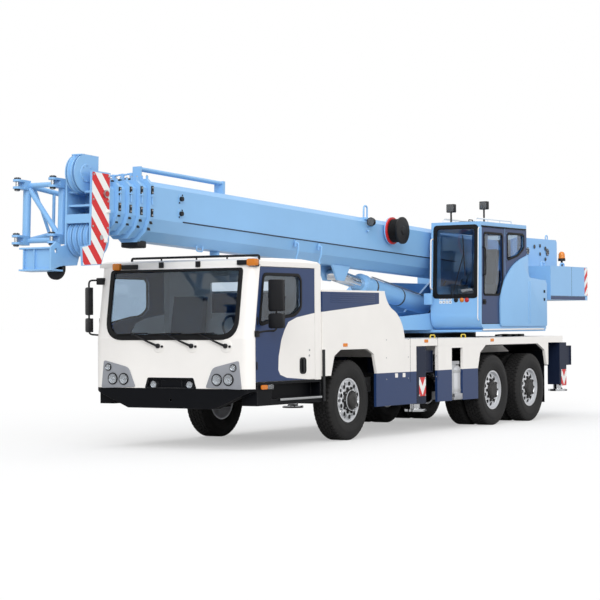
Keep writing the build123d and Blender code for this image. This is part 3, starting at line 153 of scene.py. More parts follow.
def slab(shape, low, high, round_by=0.0, place=None):
    """Add a box between two corners."""
    part = bmesh.new()
    bmesh.ops.create_cube(part, size=1.0)
    low, high = Vector(low), Vector(high)
    size, middle = high - low, (low + high) / 2
    bmesh.ops.transform(part, verts=part.verts,
                        matrix=Matrix.Translation(middle) @ Matrix.Diagonal((*size, 1)))
    if round_by:
        round_edges(part, round_by)
    merge(shape, part, place)


def prism(shape, outline, axis, start, end, round_by=0.0, place=None):
    """Add a plate: an outline in the two other axes, pushed along one axis."""
    part = bmesh.new()
    spots = {"x": lambda a, b: (start, a, b), "y": lambda a, b: (a, start, b),
             "z": lambda a, b: (a, b, start)}[axis]
    face = part.faces.new([part.verts.new(spots(a, b)) for a, b in outline])
    grown = bmesh.ops.extrude_face_region(part, geom=[face])
    moved = [v for v in grown["geom"] if isinstance(v, bmesh.types.BMVert)]
    bmesh.ops.translate(part, verts=moved, vec=AXES[axis] * (end - start))
    if round_by:
        round_edges(part, round_by)
    merge(shape, part, place)


# %% [markdown]
# ## Turned parts and round bars
# Drums, lamps and caps are round about an axis, so a lathe turns them from a short profile of distance
# and radius. Rails, hoses and handles are round bar, straight or bent. A bent one could be a curve with a
# bevel, but a swept mesh keeps its corners at the same radius and needs no conversion.


# %% Lathe and bars
def lathe(shape, profile, centre, axis="y", sides=32, place=None):
    """Turn (along, radius) points about an axis through a centre."""
    part = bmesh.new()
    along = AXES[axis]
    across = AXES["z"] if axis != "z" else AXES["x"]
    rings = []
    for distance, radius in profile:
        if radius < 1e-6:
            rings.append([part.verts.new(along * distance)])
            continue
        rings.append([part.verts.new(along * distance
                                     + Matrix.Rotation(math.tau * i / sides, 3, along) @ across * radius)
                      for i in range(sides)])
    for first, second in zip(rings, rings[1:]):
        for i in range(sides):
            j = (i + 1) % sides
            around = list(dict.fromkeys([first[i % len(first)], first[j % len(first)],
                                         second[j % len(second)], second[i % len(second)]]))
            if len(around) > 2:
                part.faces.new(around)
    if profile[0] == profile[-1]:
        bmesh.ops.remove_doubles(part, verts=part.verts, dist=1e-6)
    else:
        for ring in (rings[0], rings[-1]):
            if len(ring) > 2:
                part.faces.new(ring)
    turn = Matrix.Translation(Vector(centre))
    merge(shape, part, turn if place is None else place @ turn)


def bar(shape, start, end, radius, sides=12, end_radius=None):
    """Add a round bar between two points."""
    start, end = Vector(start), Vector(end)
    length = (end - start).length
    part = bmesh.new()
    bmesh.ops.create_cone(part, cap_ends=True, segments=sides, radius1=radius,
                          radius2=radius if end_radius is None else end_radius, depth=length)
    turn = (end - start).to_track_quat("Z", "Y").to_matrix().to_4x4()
    merge(shape, part, Matrix.Translation((start + end) / 2) @ turn)


def bolts(shape, places, facing, radius=0.012, height=0.010):
    """Add hexagon heads with a washer at several places."""
    facing = Vector(facing).normalized()
    for spot in places:
        spot = Vector(spot)
        bar(shape, spot, spot + facing * height * 0.25, radius * 1.45, 14)
        bar(shape, spot + facing * height * 0.25, spot + facing * height, radius, 6)


def bent_bar(shape, points, radius, bend=0.04, sides=10):
    """Sweep a round bar along straight runs, with a rounded bend at each corner."""
    points = [Vector(p) for p in points]
    line = [points[0]]
    for before, corner, after in zip(points, points[1:], points[2:]):
        into, out = (before - corner), (after - corner)
        reach = min(bend, into.length * 0.45, out.length * 0.45)
        start, end = corner + into.normalized() * reach, corner + out.normalized() * reach
        for step in range(6):
            t = step / 5
            line.append(start.lerp(corner, t).lerp(corner.lerp(end, t), t))
    line.append(points[-1])
    part = bmesh.new()
    side = (line[1] - line[0]).orthogonal().normalized()
    rings = []
    for i, spot in enumerate(line):
        ahead = (line[min(i + 1, len(line) - 1)] - line[max(i - 1, 0)]).normalized()
        side = (side - ahead * side.dot(ahead)).normalized()
        turns = [Matrix.Rotation(math.tau * k / sides, 3, ahead) for k in range(sides)]
        rings.append([part.verts.new(spot + turn @ side * radius) for turn in turns])
    for first, second in zip(rings, rings[1:]):
        for k in range(sides):
            part.faces.new((first[k], first[(k + 1) % sides], second[(k + 1) % sides], second[k]))
    part.faces.new(rings[0])
    part.faces.new(rings[-1])
    merge(shape, part)


def staple(shape, start, end, lift, radius, bend=0.04):
    """Sweep a round bar from a start, up by a lift, across, and down to an end."""
    start, end, lift = Vector(start), Vector(end), Vector(lift)
    bent_bar(shape, [start, start + lift, end + lift, end], radius, bend)


def washer(low, high, bore, radius):
    """The closed lathe profile of a flat ring."""
    return [(low, bore), (low, radius), (high, radius), (high, bore), (low, bore)]


# %% [markdown]
# ## From a shape to a piece
# A shape only becomes part of the crane when it gets a name, a finish and a body to ride on. One helper
# does all three, so that no piece can be forgotten when a door or the boom moves. Edges sharper than an
# angle stay crisp and the others are smoothed, as on rolled plate.


# %% Pieces
def piece(name, shape, finish, body, smooth=35):
    """Turn a shape into an object that rides on a body."""
    bmesh.ops.recalc_face_normals(shape, faces=shape.faces)
    mesh = bpy.data.meshes.new(name)
    bmesh.ops.translate(shape, vec=DATUM, verts=shape.verts)
    shape.to_mesh(mesh)
    shape.free()
    mesh.shade_smooth()
    mesh.set_sharp_from_angle(angle=math.radians(smooth))
    mesh.materials.append(finish)
    made = bpy.data.objects.new(name, mesh)
    bpy.context.scene.collection.objects.link(made)
    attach(made, body)
    print(f"{name}: {len(mesh.polygons)} faces")
    return made


def pieces(body, **rows):
    """Make several pieces that ride on one body; a row is a piece's name with its shape and finish."""
    for name, (shape, finish) in rows.items():
        piece(name, shape, finish, body)


print("helpers ready")

# %% [markdown]
# ## Colours and node helpers
# Colours are written as a paint chart gives them, from 0 to 255, and turned into the linear values that
# the renderer works with. `add` puts one node in a tree, sets its values and wires its inputs in a
# single call, which keeps each material short enough to read.


# %% Node helpers
def ink(red, green, blue):
    """A chart colour as linear red, green, blue and alpha."""
    return (*[((c / 255 + 0.055) / 1.055) ** 2.4 if c > 10 else c / 255 / 12.92
              for c in (red, green, blue)], 1.0)


def add(tree, kind, links=None, **values):
    """Add a shader node; values go to its settings or inputs, links to its inputs."""
    made = tree.nodes.new("ShaderNode" + kind)
    for key, value in values.items():
        if hasattr(made, key):
            setattr(made, key, value)
    for key, value in values.items():
        if not hasattr(made, key):
            made.inputs[key.replace("_", " ")].default_value = value
    for key, socket in (links or {}).items():
        tree.links.new(socket, made.inputs[key])
    return made


def calc(tree, operation, *terms):
    """One Math node; each term is a number or a socket."""
    made = add(tree, "Math", operation=operation)
    for i, term in enumerate(terms):
        if isinstance(term, (int, float)):
            made.inputs[i].default_value = term
        else:
            tree.links.new(term, made.inputs[i])
    return made.outputs[0]


def blend_colours(tree, mask, first, second, mode="MIX"):
    """Mix two colours (values or sockets) by a mask."""
    made = add(tree, "Mix", data_type="RGBA", blend_type=mode)
    for spot, term in (("Factor_Float", mask), ("A_Color", first), ("B_Color", second)):
        socket = next(s for s in made.inputs if s.identifier == spot)
        if isinstance(term, bpy.types.NodeSocket):
            tree.links.new(term, socket)
        else:
            socket.default_value = term
    return next(s for s in made.outputs if s.identifier == "Result_Color")


def new_group(name, inputs, outputs):
    """An empty shader group with named sockets: (title, kind, value) and (title, kind)."""
    tree = bpy.data.node_groups.new(name, "ShaderNodeTree")
    for title, kind, value in inputs:
        tree.interface.new_socket(title, in_out="INPUT",
                                  socket_type="NodeSocket" + kind).default_value = value
    for title, kind in outputs:
        tree.interface.new_socket(title, in_out="OUTPUT", socket_type="NodeSocket" + kind)
    return tree, tree.nodes.new("NodeGroupInput").outputs, tree.nodes.new("NodeGroupOutput").inputs


def use_group(tree, group, **values):
    """Place a group in a material with its own values."""
    made = tree.nodes.new("ShaderNodeGroup")
    made.node_tree = group
    for key, value in values.items():
        socket = made.inputs[key.replace("_", " ")]
        if isinstance(value, bpy.types.NodeSocket):
            tree.links.new(value, socket)
        else:
            socket.default_value = value
    return made.outputs


def new_material(name, **settings):
    """A material with one Principled shader and its plain values."""
    made = bpy.data.materials.new(name)
    made.use_nodes = True
    shader = made.node_tree.nodes["Principled BSDF"]
    for key, value in settings.items():
        shader.inputs[key.replace("_", " ")].default_value = value
    return made, made.node_tree, shader


# %% [markdown]
# ## Effects that many finishes share
# Real plate never has a knife edge: it is rolled or ground, and paint pulls back from it. The *soft edge*
# group asks the Bevel node for a normal that is averaged over a few millimetres, so flat construction
# plates catch a thin highlight, and it gives a mask of the edges, where enamel gets a painted highlight.
# *Spray* is the faint orange peel of sprayed enamel. *Road film* is the grey dust that settles low
# down on a vehicle.

# %% Soft edge, spray and road film
soft_edge, given, result = new_group(
    "Soft edge", [("Radius", "Float", 0.006)], [("Normal", "Vector"), ("Mask", "Float")])
rolled = add(soft_edge, "Bevel", {"Radius": given["Radius"]}, samples=4)
flat_normal = add(soft_edge, "NewGeometry").outputs["Normal"]
likeness = add(soft_edge, "VectorMath", {0: rolled.outputs[0], 1: flat_normal}, operation="DOT_PRODUCT")
soft_edge.links.new(rolled.outputs[0], result["Normal"])
# The edge mask is what enamel uses to paint a highlight on edges.
soft_edge.links.new(calc(soft_edge, "SMOOTH_MIN", 1.0, calc(
    soft_edge, "MULTIPLY", calc(soft_edge, "SUBTRACT", 1.0, likeness.outputs["Value"]), 4.0), 0.1),
    result["Mask"])

spray, given, result = new_group(
    "Spray", [("Normal", "Vector", (0, 0, 0)), ("Depth", "Float", 0.2)],
    [("Normal", "Vector"), ("Tone", "Float")])
spot = add(spray, "TexCoord").outputs["Object"]
peel = add(spray, "TexNoise", {"Vector": spot}, Scale=220.0, Detail=2.0)
cloud = add(spray, "TexNoise", {"Vector": spot}, Scale=1.7, Detail=4.0, Roughness=0.6)
lumps = add(spray, "Bump", {"Height": peel.outputs[0], "Normal": given["Normal"],
                            "Strength": given["Depth"]},
            Distance=0.0006)
spray.links.new(lumps.outputs[0], result["Normal"])
spray.links.new(cloud.outputs[0], result["Tone"])

road_film, given, result = new_group(
    "Road film", [("Colour", "Color", (1, 1, 1, 1)), ("Dust", "Color", (0.3, 0.28, 0.25, 1)),
                  ("Reach", "Float", 1.2), ("Amount", "Float", 0.25)],
    [("Colour", "Color"), ("Mask", "Float")])
spot = add(road_film, "TexCoord").outputs["Object"]
height = add(road_film, "SeparateXYZ", {"Vector": spot}).outputs["Z"]
low = calc(road_film, "SUBTRACT", 1.0, calc(road_film, "DIVIDE", height, given["Reach"]))
low = calc(road_film, "MAXIMUM", low, 0.0)
patches = add(road_film, "TexNoise", {"Vector": spot}, Scale=3.0, Detail=6.0, Roughness=0.65).outputs[0]
film = calc(road_film, "MULTIPLY", calc(road_film, "MULTIPLY", low, patches),
            calc(road_film, "MULTIPLY", given["Amount"], 2.0))
road_film.links.new(blend_colours(road_film, film, given["Colour"], given["Dust"]), result["Colour"])
road_film.links.new(film, result["Mask"])
print("groups:", [g.name for g in bpy.data.node_groups])

# %% [markdown]
# ## Enamel
# The crane's colours are sprayed enamel with a clear, glossy skin. One function makes every shade. The
# colour may be a single one or a socket, so a two-tone panel is the same paint over a mask. Tone varies
# by a percent or two over a panel, edges get a faint painted highlight, and low parts get some road film.


# %% Enamel
def enamel(name, colour, gloss=0.30, coat=0.10, film=0.02, edge=0.006, shine=0.33, pattern=None):
    """Sprayed paint; pattern(tree) may give a colour socket instead of the plain colour."""
    made, tree, shader = new_material(name, Coat_Weight=coat, Coat_Roughness=0.12,
                                      Specular_IOR_Level=shine)
    base = pattern(tree) if pattern else colour
    rim = use_group(tree, soft_edge, Radius=edge)
    skin = use_group(tree, spray, Normal=rim["Normal"], Depth=0.12)
    toned = blend_colours(tree, calc(tree, "MULTIPLY", skin["Tone"], 0.10), base, (0.0, 0.0, 0.0, 1.0))
    # Edges are mixed a tenth of the way to white as a painted highlight.
    painted_edge_highlight = blend_colours(tree, calc(tree, "MULTIPLY", rim["Mask"], 0.10), toned, (1.0, 1.0, 1.0, 1.0))
    filmed = use_group(tree, road_film, Colour=painted_edge_highlight, Amount=film)
    rough = calc(tree, "ADD", gloss, calc(tree, "MULTIPLY", filmed["Mask"], 0.4))
    tree.links.new(filmed["Colour"], shader.inputs["Base Color"])
    tree.links.new(calc(tree, "ADD", rough, calc(tree, "MULTIPLY", skin["Tone"], 0.06)),
                   shader.inputs["Roughness"])
    tree.links.new(skin["Normal"], shader.inputs["Normal"])
    return made


WHITE, SLATE = ink(247, 244, 240), ink(27, 54, 100)
SKY, NAVY = ink(139, 189, 235), ink(20, 31, 55)
RED = ink(214, 34, 38)
white_enamel = enamel("White enamel", WHITE, film=0.03)
blue_enamel = enamel("Light blue enamel", SKY, film=0.0)
slate_enamel = enamel("Slate blue enamel", SLATE)
navy_enamel = enamel("Navy enamel", NAVY, gloss=0.42, coat=0.03, shine=0.18)
bumper_enamel = enamel("Bumper navy", ink(5, 7, 13), gloss=0.46, coat=0.0, film=0.01, shine=0.10)
chassis_enamel = enamel("Chassis black", ink(9, 10, 12), gloss=0.5, coat=0.0, film=0.05, shine=0.12)
red_enamel = enamel("Red enamel", RED)
yellow_enamel = enamel("Yellow enamel", ink(226, 196, 60))
print("enamels:", len([m for m in bpy.data.materials if "namel" in m.name]))

# %% [markdown]
# ## Two-tone panels
# A painted graphic is a region on a panel. Here the region is worked out in the shader from straight
# sides: the mask is 1 where a point lies on the left of every side of an outline. It stays sharp at any
# distance and moves with the panel, which a projected picture would not.


# %% Two-tone panels
def inside(tree, plane, outline, spread=0.0015):
    """Mask of a convex outline given anticlockwise in two object axes, such as 'XZ'."""
    outline = [(u + (DATUM.x if plane[0] == "X" else 0.0), v) for u, v in outline]
    split = add(tree, "SeparateXYZ", {"Vector": add(tree, "TexCoord").outputs["Object"]})
    across, up = split.outputs[plane[0]], split.outputs[plane[1]]
    mask = None
    for (ua, va), (ub, vb) in zip(outline, outline[1:] + outline[:1]):
        du, dv = ub - ua, vb - va
        length = math.hypot(du, dv)
        du, dv = du / length, dv / length
        left = calc(tree, "MULTIPLY_ADD", across, -dv,
                    calc(tree, "MULTIPLY_ADD", up, du, ua * dv - va * du))
        side = add(tree, "MapRange", {"Value": left}, From_Min=-spread, From_Max=spread).outputs[0]
        mask = side if mask is None else calc(tree, "MULTIPLY", mask, side)
    return mask


def stripes(tree, plane, pitch, slope, mirror_at=None):
    """Slanting stripes across two axes; mirror_at folds them into a chevron."""
    split = add(tree, "SeparateXYZ", {"Vector": add(tree, "TexCoord").outputs["Object"]})
    across, up = split.outputs[plane[0]], split.outputs[plane[1]]
    if mirror_at is not None:
        across = calc(tree, "ABSOLUTE", calc(tree, "SUBTRACT", across, mirror_at))
    turns = calc(tree, "DIVIDE", calc(tree, "MULTIPLY_ADD", across, slope, up), pitch)
    return calc(tree, "GREATER_THAN", calc(tree, "FRACT", turns), 0.5)


DOOR_SWEEP = [(2.40, 0.842), (3.20, 0.893), (3.355, 0.935), (3.402, 0.997), (3.39, 1.17), (3.325, 1.377),
              (3.25, 1.50), (3.153, 1.606), (2.95, 1.665), (2.40, 1.735)]


def door_graphic(tree):
    return blend_colours(tree, inside(tree, "XZ", DOOR_SWEEP), SLATE, WHITE)


LOUVRE_BAND = [(0.80, 1.85), (2.36, 1.735), (2.36, 2.005), (0.80, 2.005)]


def housing_graphic(tree):
    return blend_colours(tree, inside(tree, "XZ", LOUVRE_BAND), WHITE, SLATE)


SKIRT_LINE = 0.89


def panel_graphic(tree):
    low = inside(tree, "XZ", [(-7, 0), (7, 0), (7, SKIRT_LINE), (-7, SKIRT_LINE)])
    return blend_colours(tree, low, WHITE, SLATE)


door_paint = enamel("Door two-tone enamel", WHITE, pattern=door_graphic)
housing_paint = enamel("Housing two-tone enamel", WHITE, pattern=housing_graphic)
panel_paint = enamel("Side panel two-tone enamel", WHITE, pattern=panel_graphic)
print("two-tone paints ready")

# %% [markdown]
# ## Rubber, plastic and metal
# Tyre rubber is dark and dull, with dust held in its fine texture. Moulded trim has a small grain that
# breaks up its highlights. Bare metals differ mostly in roughness and in how their surface was worked,
# so they share one function: a brushed tank has long scratches, a rod is polished, cast iron is lumpy.


# %% Rubber, plastic and metal
def grained(name, colour, rough, grain=300.0, depth=0.25, dust=0.0, metallic=0.0, stretch=(1, 1, 1),
            shine=0.5, **more):
    """A finish whose small noise drives tone, roughness and bump."""
    made, tree, shader = new_material(name, Metallic=metallic, Specular_IOR_Level=shine, **more)
    spot = add(tree, "TexCoord").outputs["Object"]
    spread = add(tree, "Mapping", {"Vector": spot}, Scale=stretch).outputs[0]
    fine = add(tree, "TexNoise", {"Vector": spread}, Scale=grain, Detail=3.0).outputs[0]
    broad = add(tree, "TexNoise", {"Vector": spot}, Scale=6.0, Detail=5.0, Roughness=0.65).outputs[0]
    toned = blend_colours(tree, calc(tree, "MULTIPLY", broad, 0.22), colour, (0.0, 0.0, 0.0, 1.0))
    dusted = blend_colours(tree, calc(tree, "MULTIPLY", broad, dust), toned, ink(128, 122, 112))
    rim = use_group(tree, soft_edge, Radius=0.003)
    lumps = add(tree, "Bump", {"Height": fine, "Normal": rim["Normal"]}, Strength=depth, Distance=0.001)
    tree.links.new(dusted, shader.inputs["Base Color"])
    tree.links.new(calc(tree, "MULTIPLY_ADD", fine, 0.14, rough - 0.07), shader.inputs["Roughness"])
    tree.links.new(lumps.outputs[0], shader.inputs["Normal"])
    return made


tyre_rubber = grained("Tyre rubber", ink(19, 20, 23), 0.74, grain=120.0, dust=0.07, shine=0.32)
seal_rubber = grained("Seal rubber", ink(10, 11, 14), 0.62, shine=0.25)
black_plastic = grained("Moulded black plastic", ink(15, 16, 20), 0.45, grain=500.0, shine=0.3)
grey_plastic = grained("Lamp bezel grey", ink(150, 153, 160), 0.35, grain=400.0, depth=0.1)
wheel_silver = grained("Wheel silver", ink(222, 224, 228), 0.30, depth=0.05, dust=0.05, metallic=0.25)
hub_iron = grained("Hub iron", ink(22, 24, 29), 0.5, grain=90.0, depth=0.4, dust=0.15, metallic=0.3)
brushed_tank = grained("Brushed tank aluminium", ink(190, 192, 196), 0.36, metallic=0.75,
                       stretch=(0.05, 1, 1), dust=0.10)
bright_zinc = grained("Zinc-plated steel", ink(186, 188, 190), 0.32, metallic=0.9, depth=0.08)
polished_rod = grained("Chromed rod", ink(225, 227, 230), 0.12, metallic=1.0, depth=0.02)
rope_steel = grained("Wire rope steel", ink(112, 112, 114), 0.5, grain=240.0, metallic=0.8,
                     stretch=(1, 1, 3), depth=0.7)
cast_grey = grained("Cast iron", ink(64, 66, 70), 0.62, grain=80.0, depth=0.6)
seat_cloth = grained("Chair cloth", ink(52, 56, 64), 0.92, grain=420.0, depth=0.6, Sheen_Weight=0.4)
dash_plastic = grained("Dashboard plastic", ink(70, 78, 96), 0.6, grain=350.0)
mirror_glass = grained("Mirror glass", ink(205, 212, 220), 0.07, metallic=1.0, depth=0.0)

# %% [markdown]
# ## Lenses, window glass and marked plate
# Lamps are coloured transparent lenses over bright reflectors. The windows are thin panes with a blue
# tint, as road glass has. Deck plate carries a raised pattern against slipping: two crossed families of
# short bars, made as bump because thousands of tiny lugs would only cost triangles. The red and white
# warning plates are diagonal stripes in the shader.


# %% Lenses, glass and marked plate
def clear(name, colour, rough=0.05, ior=1.45, through=1.0, ribs=0.0):
    made, tree, shader = new_material(name, Roughness=rough, IOR=ior, Transmission_Weight=through)
    spot = add(tree, "TexCoord").outputs["Object"]
    haze = add(tree, "TexNoise", {"Vector": spot}, Scale=2.5, Detail=3.0).outputs[0]
    tree.links.new(blend_colours(tree, calc(tree, "MULTIPLY", haze, 0.12), colour,
                                 (0.02, 0.02, 0.03, 1)),
                   shader.inputs["Base Color"])
    if ribs:
        wave = add(tree, "TexWave", {"Vector": spot}, Scale=ribs, bands_direction="Y")
        lumps = add(tree, "Bump", {"Height": wave.outputs[0]}, Strength=0.4, Distance=0.002)
        tree.links.new(lumps.outputs[0], shader.inputs["Normal"])
    return made


window_glass = clear("Tinted window glass", ink(196, 212, 226), rough=0.02)
clear_lens = clear("Clear lamp lens", ink(240, 243, 246), ribs=30.0, through=0.9)
amber_lens = clear("Amber lens", ink(255, 150, 40), rough=0.2, ribs=30.0, through=0.35)
red_lens = clear("Red lens", ink(215, 28, 30), rough=0.18, ribs=30.0, through=0.3)
lamp_mirror = grained("Lamp reflector", ink(225, 228, 232), 0.14, metallic=1.0, depth=0.02)


def warning_plate(name, plane, pitch, slope, mirror_at=None):
    def pattern(tree):
        return blend_colours(tree, stripes(tree, plane, pitch, slope, mirror_at), ink(245, 245, 243),
                             RED)
    return enamel(name, WHITE, gloss=0.35, film=0.05, pattern=pattern)


tread_plate, tree, shader = new_material("Raised-pattern deck plate", Metallic=0.1)
spot = add(tree, "TexCoord").outputs["Object"]
lugs = []
for turn in (45, -45):
    spun = add(tree, "Mapping", {"Vector": spot}, Rotation=(0, 0, math.radians(turn)),
               Scale=(22, 22, 22))
    cell = add(tree, "SeparateXYZ", {"Vector": spun.outputs[0]})
    along = calc(tree, "ABSOLUTE", calc(tree, "SUBTRACT", calc(tree, "FRACT", cell.outputs["X"]), 0.5))
    over = calc(tree, "ABSOLUTE", calc(tree, "SUBTRACT", calc(tree, "FRACT", cell.outputs["Y"]), 0.5))
    lugs.append(calc(tree, "MULTIPLY", calc(tree, "LESS_THAN", along, 0.36),
                     calc(tree, "LESS_THAN", over, 0.09)))
raised = calc(tree, "MAXIMUM", *lugs)
scuffs = add(tree, "TexNoise", {"Vector": spot}, Scale=4.0, Detail=6.0).outputs[0]
worn = calc(tree, "MULTIPLY", raised, scuffs)
tree.links.new(blend_colours(tree, worn, ink(205, 204, 200), ink(150, 150, 150)),
               shader.inputs["Base Color"])
tree.links.new(calc(tree, "MULTIPLY_ADD", scuffs, 0.2, 0.4), shader.inputs["Roughness"])
tree.links.new(add(tree, "Bump", {"Height": raised}, Strength=0.5, Distance=0.003).outputs[0],
               shader.inputs["Normal"])
print("materials so far:", len(bpy.data.materials))

# %% [markdown]
# ## Light, floor and camera
# The crane stands on a plain pale floor under soft, even light, as a catalogue shows it. A broad sun
# from the front left gives the panels their shape, a weaker one from above lights the tops, and the
# world fills the shadows. The camera stands low, as high as a person's eyes, in front and to the left.

# %% Stage
scene = bpy.context.scene
scene.view_settings.view_transform = "Standard"
world = bpy.data.worlds.new("Studio")
scene.world = world
world.use_nodes = True
sky_tree = world.node_tree
backdrop = sky_tree.nodes["Background"]
ray = add(sky_tree, "LightPath").outputs
seen = calc(sky_tree, "MAXIMUM", ray["Is Camera Ray"], ray["Is Transmission Ray"])
seen = calc(sky_tree, "MAXIMUM", seen, ray["Is Glossy Ray"])
FILL = 0.66
backdrop.inputs["Color"].default_value = (1.0, 1.0, 1.0, 1.0)
sky_tree.links.new(calc(sky_tree, "MULTIPLY_ADD", seen, 1.0 - FILL, FILL), backdrop.inputs["Strength"])


def sun(name, strength, softness, direction):
    lamp = bpy.data.lights.new(name, "SUN")
    lamp.energy, lamp.angle = strength, math.radians(softness)
    holder = bpy.data.objects.new(name, lamp)
    holder.rotation_euler = Vector(direction).to_track_quat("-Z", "Y").to_euler()
    scene.collection.objects.link(holder)


sun("Key sun", 1.68, 35, (-0.95, -0.60, -0.52))
sun("Top sun", 0.85, 60, (-0.15, 0.1, -1.0))
sun("Side sun", 0.35, 40, (0.2, -1.0, -0.25))

floor_shape = bmesh.new()
bmesh.ops.create_grid(floor_shape, x_segments=1, y_segments=1, size=400.0)
floor_mesh = bpy.data.meshes.new("floor")
floor_shape.to_mesh(floor_mesh)
floor_shape.free()
floor = bpy.data.objects.new("floor", floor_mesh)
scene.collection.objects.link(floor)
floor_paint, tree, shader = new_material("Pale floor", Base_Color=(0.50, 0.50, 0.50, 1.0), Roughness=0.9)
shader.inputs["Specular IOR Level"].default_value = 0.0
shader.inputs["Emission Color"].default_value = (1.0, 1.0, 1.0, 1.0)
tree.links.new(calc(tree, "MULTIPLY", add(tree, "LightPath").outputs["Is Camera Ray"], 0.42),
               shader.inputs["Emission Strength"])
floor_mesh.materials.append(floor_paint)

EYE = Vector((24.199, 14.287, 1.581)) + DATUM
HEADING, RISE, LEAN = math.radians(211.476), math.radians(0.7065), math.radians(-0.373)
camera = bpy.data.objects.new("camera", bpy.data.cameras.new("camera"))
camera.data.lens, camera.data.sensor_width = 116.0, 36.0
camera.data.clip_end = 500.0
look = Vector((math.cos(HEADING) * math.cos(RISE), math.sin(HEADING) * math.cos(RISE), math.sin(RISE)))
facing = look.to_track_quat("-Z", "Y").to_matrix().to_4x4() @ Matrix.Rotation(LEAN, 4, "Z")
camera.matrix_world = Matrix.Translation(EYE) @ facing
scene.collection.objects.link(camera)
scene.camera = camera
print("camera at", [round(v, 2) for v in EYE])

# %% [markdown]
# ## Paint on the construction
# Most construction nodes already have the right shape, so they only get their finish: the table below
# names one for each group. A node's own mesh is never touched.

# %% Paint the construction
FINISHES = {
    white_enamel: ("cab_front", "cab_tub", "cab_roof", "deck"),
    door_paint: ("cab_door_left", "cab_door_right"),
    housing_paint: ("engine_housing",),
    panel_paint: ("side_panels",),
    navy_enamel: ("outrigger_boxes",),
    bumper_enamel: ("bumper_and_steps", "mudguards"),
    chassis_enamel: ("chassis_frame", "axles_and_springs", "steering_knuckle_left",
                     "steering_knuckle_right", "slew_ring"),
    cast_grey: ("engine_block",),
    blue_enamel: ("turntable", "counterweight", "operator_cab", "upper_housings", "boom_base", "jib",
                  "boom_fittings", "boom_section_2", "boom_section_3", "boom_section_4", "boom_head",
                  "head_sheaves", "luff_barrel"),
    slate_enamel: ("operator_cab_door",),
    window_glass: ("cab_windscreen", "operator_cab_glass"),
    dash_plastic: ("cab_interior",),
    seat_cloth: ("operator_seat",),
    black_plastic: ("cab_mirror_left", "cab_mirror_right"),
    brushed_tank: ("tanks",),
    polished_rod: ("luff_rod",),
    rope_steel: ("winch_drums",),
}
FINISHES[navy_enamel] += tuple(n for n in nodes if n.startswith("outrigger_beam"))
FINISHES[polished_rod] += tuple(n for n in nodes if n.startswith("outrigger_jack"))
FINISHES[wheel_silver] = tuple(n for n in nodes if "rims_" in n or "front_rim" in n)
FINISHES[tyre_rubber] = tuple(n for n in nodes if "tyre" in n)
for finish, names in FINISHES.items():
    for name in names:
        nodes[name].data.materials.clear()
        nodes[name].data.materials.append(finish)
unpainted = [n for n in nodes if not any(n in names for names in FINISHES.values())]
print("without a finish:", unpainted)

# %% [markdown]
# ## Tyres
# A truck tyre is a bulging casing with a belt of rubber blocks. The casing is turned on a lathe, with
# the rings that real sidewalls have. Then five rows of blocks go round it, the outer rows shifted by
# half a block, and the shoulders get lugs. One tyre is made at the origin and copied ten times.

# %% Tyre
TREAD_DEPTH = 0.014
BEAD_HALF, BEAD_RADIUS = 0.118, 0.300
side_profile = [(BEAD_HALF, BEAD_RADIUS), (0.132, 0.314), (0.138, 0.332), (0.1365, 0.340),
                (0.143, 0.352),
                (0.1475, 0.395), (0.1495, 0.420), (0.1475, 0.440), (0.1455, 0.444), (0.1440, 0.470),
                (0.1385, 0.492), (0.1335, 0.508), (0.1280, 0.520), (0.1180, TYRE_RADIUS - TREAD_DEPTH)]
casing = ([(-along, radius) for along, radius in side_profile] + [(0.0, TYRE_RADIUS - TREAD_DEPTH)]
          + side_profile[::-1] + [(-BEAD_HALF, BEAD_RADIUS)])
tyre_shape = bmesh.new()
lathe(tyre_shape, casing, (0, 0, 0), "y", 96)
BLOCKS = 50
for row, (across, width, shift, skew) in enumerate(((-0.092, 0.036, 0, 0), (-0.046, 0.038, 0.5, 9),
                                                    (0, 0.036, 0, -9), (0.046, 0.038, 0.5, 9),
                                                    (0.092, 0.036, 0, 0))):
    for i in range(BLOCKS):
        place = (Matrix.Rotation(math.tau * (i + shift) / BLOCKS, 4, "Y")
                 @ Matrix.Translation((0, across, TYRE_RADIUS - 0.012))
                 @ Matrix.Rotation(math.radians(skew), 4, "Z"))
        slab(tyre_shape, (-0.0265, -width / 2, -0.012), (0.0265, width / 2, 0.0113), 0, place)
for side in (1, -1):
    for i in range(BLOCKS):
        place = Matrix.Rotation(math.tau * i / BLOCKS, 4, "Y")
        prism(tyre_shape, [(side * 0.108, TYRE_RADIUS - 0.0008), (side * 0.121, TYRE_RADIUS - 0.008),
                           (side * 0.137, TYRE_RADIUS - 0.048), (side * 0.120, TYRE_RADIUS - 0.05)],
              "x", -0.020, 0.020, 0, place)
tyre_mesh = bpy.data.meshes.new("one_tyre")
tyre_shape.to_mesh(tyre_mesh)
tyre_shape.free()
print("one tyre:", len(tyre_mesh.polygons), "faces")


def fit_tyres(name, body, cad_node, x, middles):
    shape = bmesh.new()
    for i, y in enumerate(middles):
        part = bmesh.new()
        part.from_mesh(tyre_mesh)
        turn = Matrix.Rotation(math.radians(7 * i + 2), 4, "Y")
        merge(shape, part, Matrix.Translation((x, y, WHEEL_Z)) @ turn)
    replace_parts(piece(name, shape, tyre_rubber, body, smooth=28), cad_node)


for side, mark in SIDES:
    fit_tyres(f"treaded_tyre_front_{side}", f"front_wheel_{side}", f"front_tyre_{side}", AXLE_X,
              [mark * FRONT_Y])
    for number, x in zip("12", REAR_X):
        tyre_low, tyre_high = corners(f"rear_tyres_{number}_{side}")
        fit_tyres(f"treaded_tyres_{number}_{side}", f"rear_wheels_{number}_{side}",
                  f"rear_tyres_{number}_{side}", x, [tyre_low.y + TYRE_HALF, tyre_high.y - TYRE_HALF])

# %% [markdown]
# ## Hubs and wheel nuts
# The silver disc is the construction's own, with its hand holes. On it go a dark hub with a bolted cap
# and ten wheel nuts with their studs.


# %% Hubs
NUTS = 10


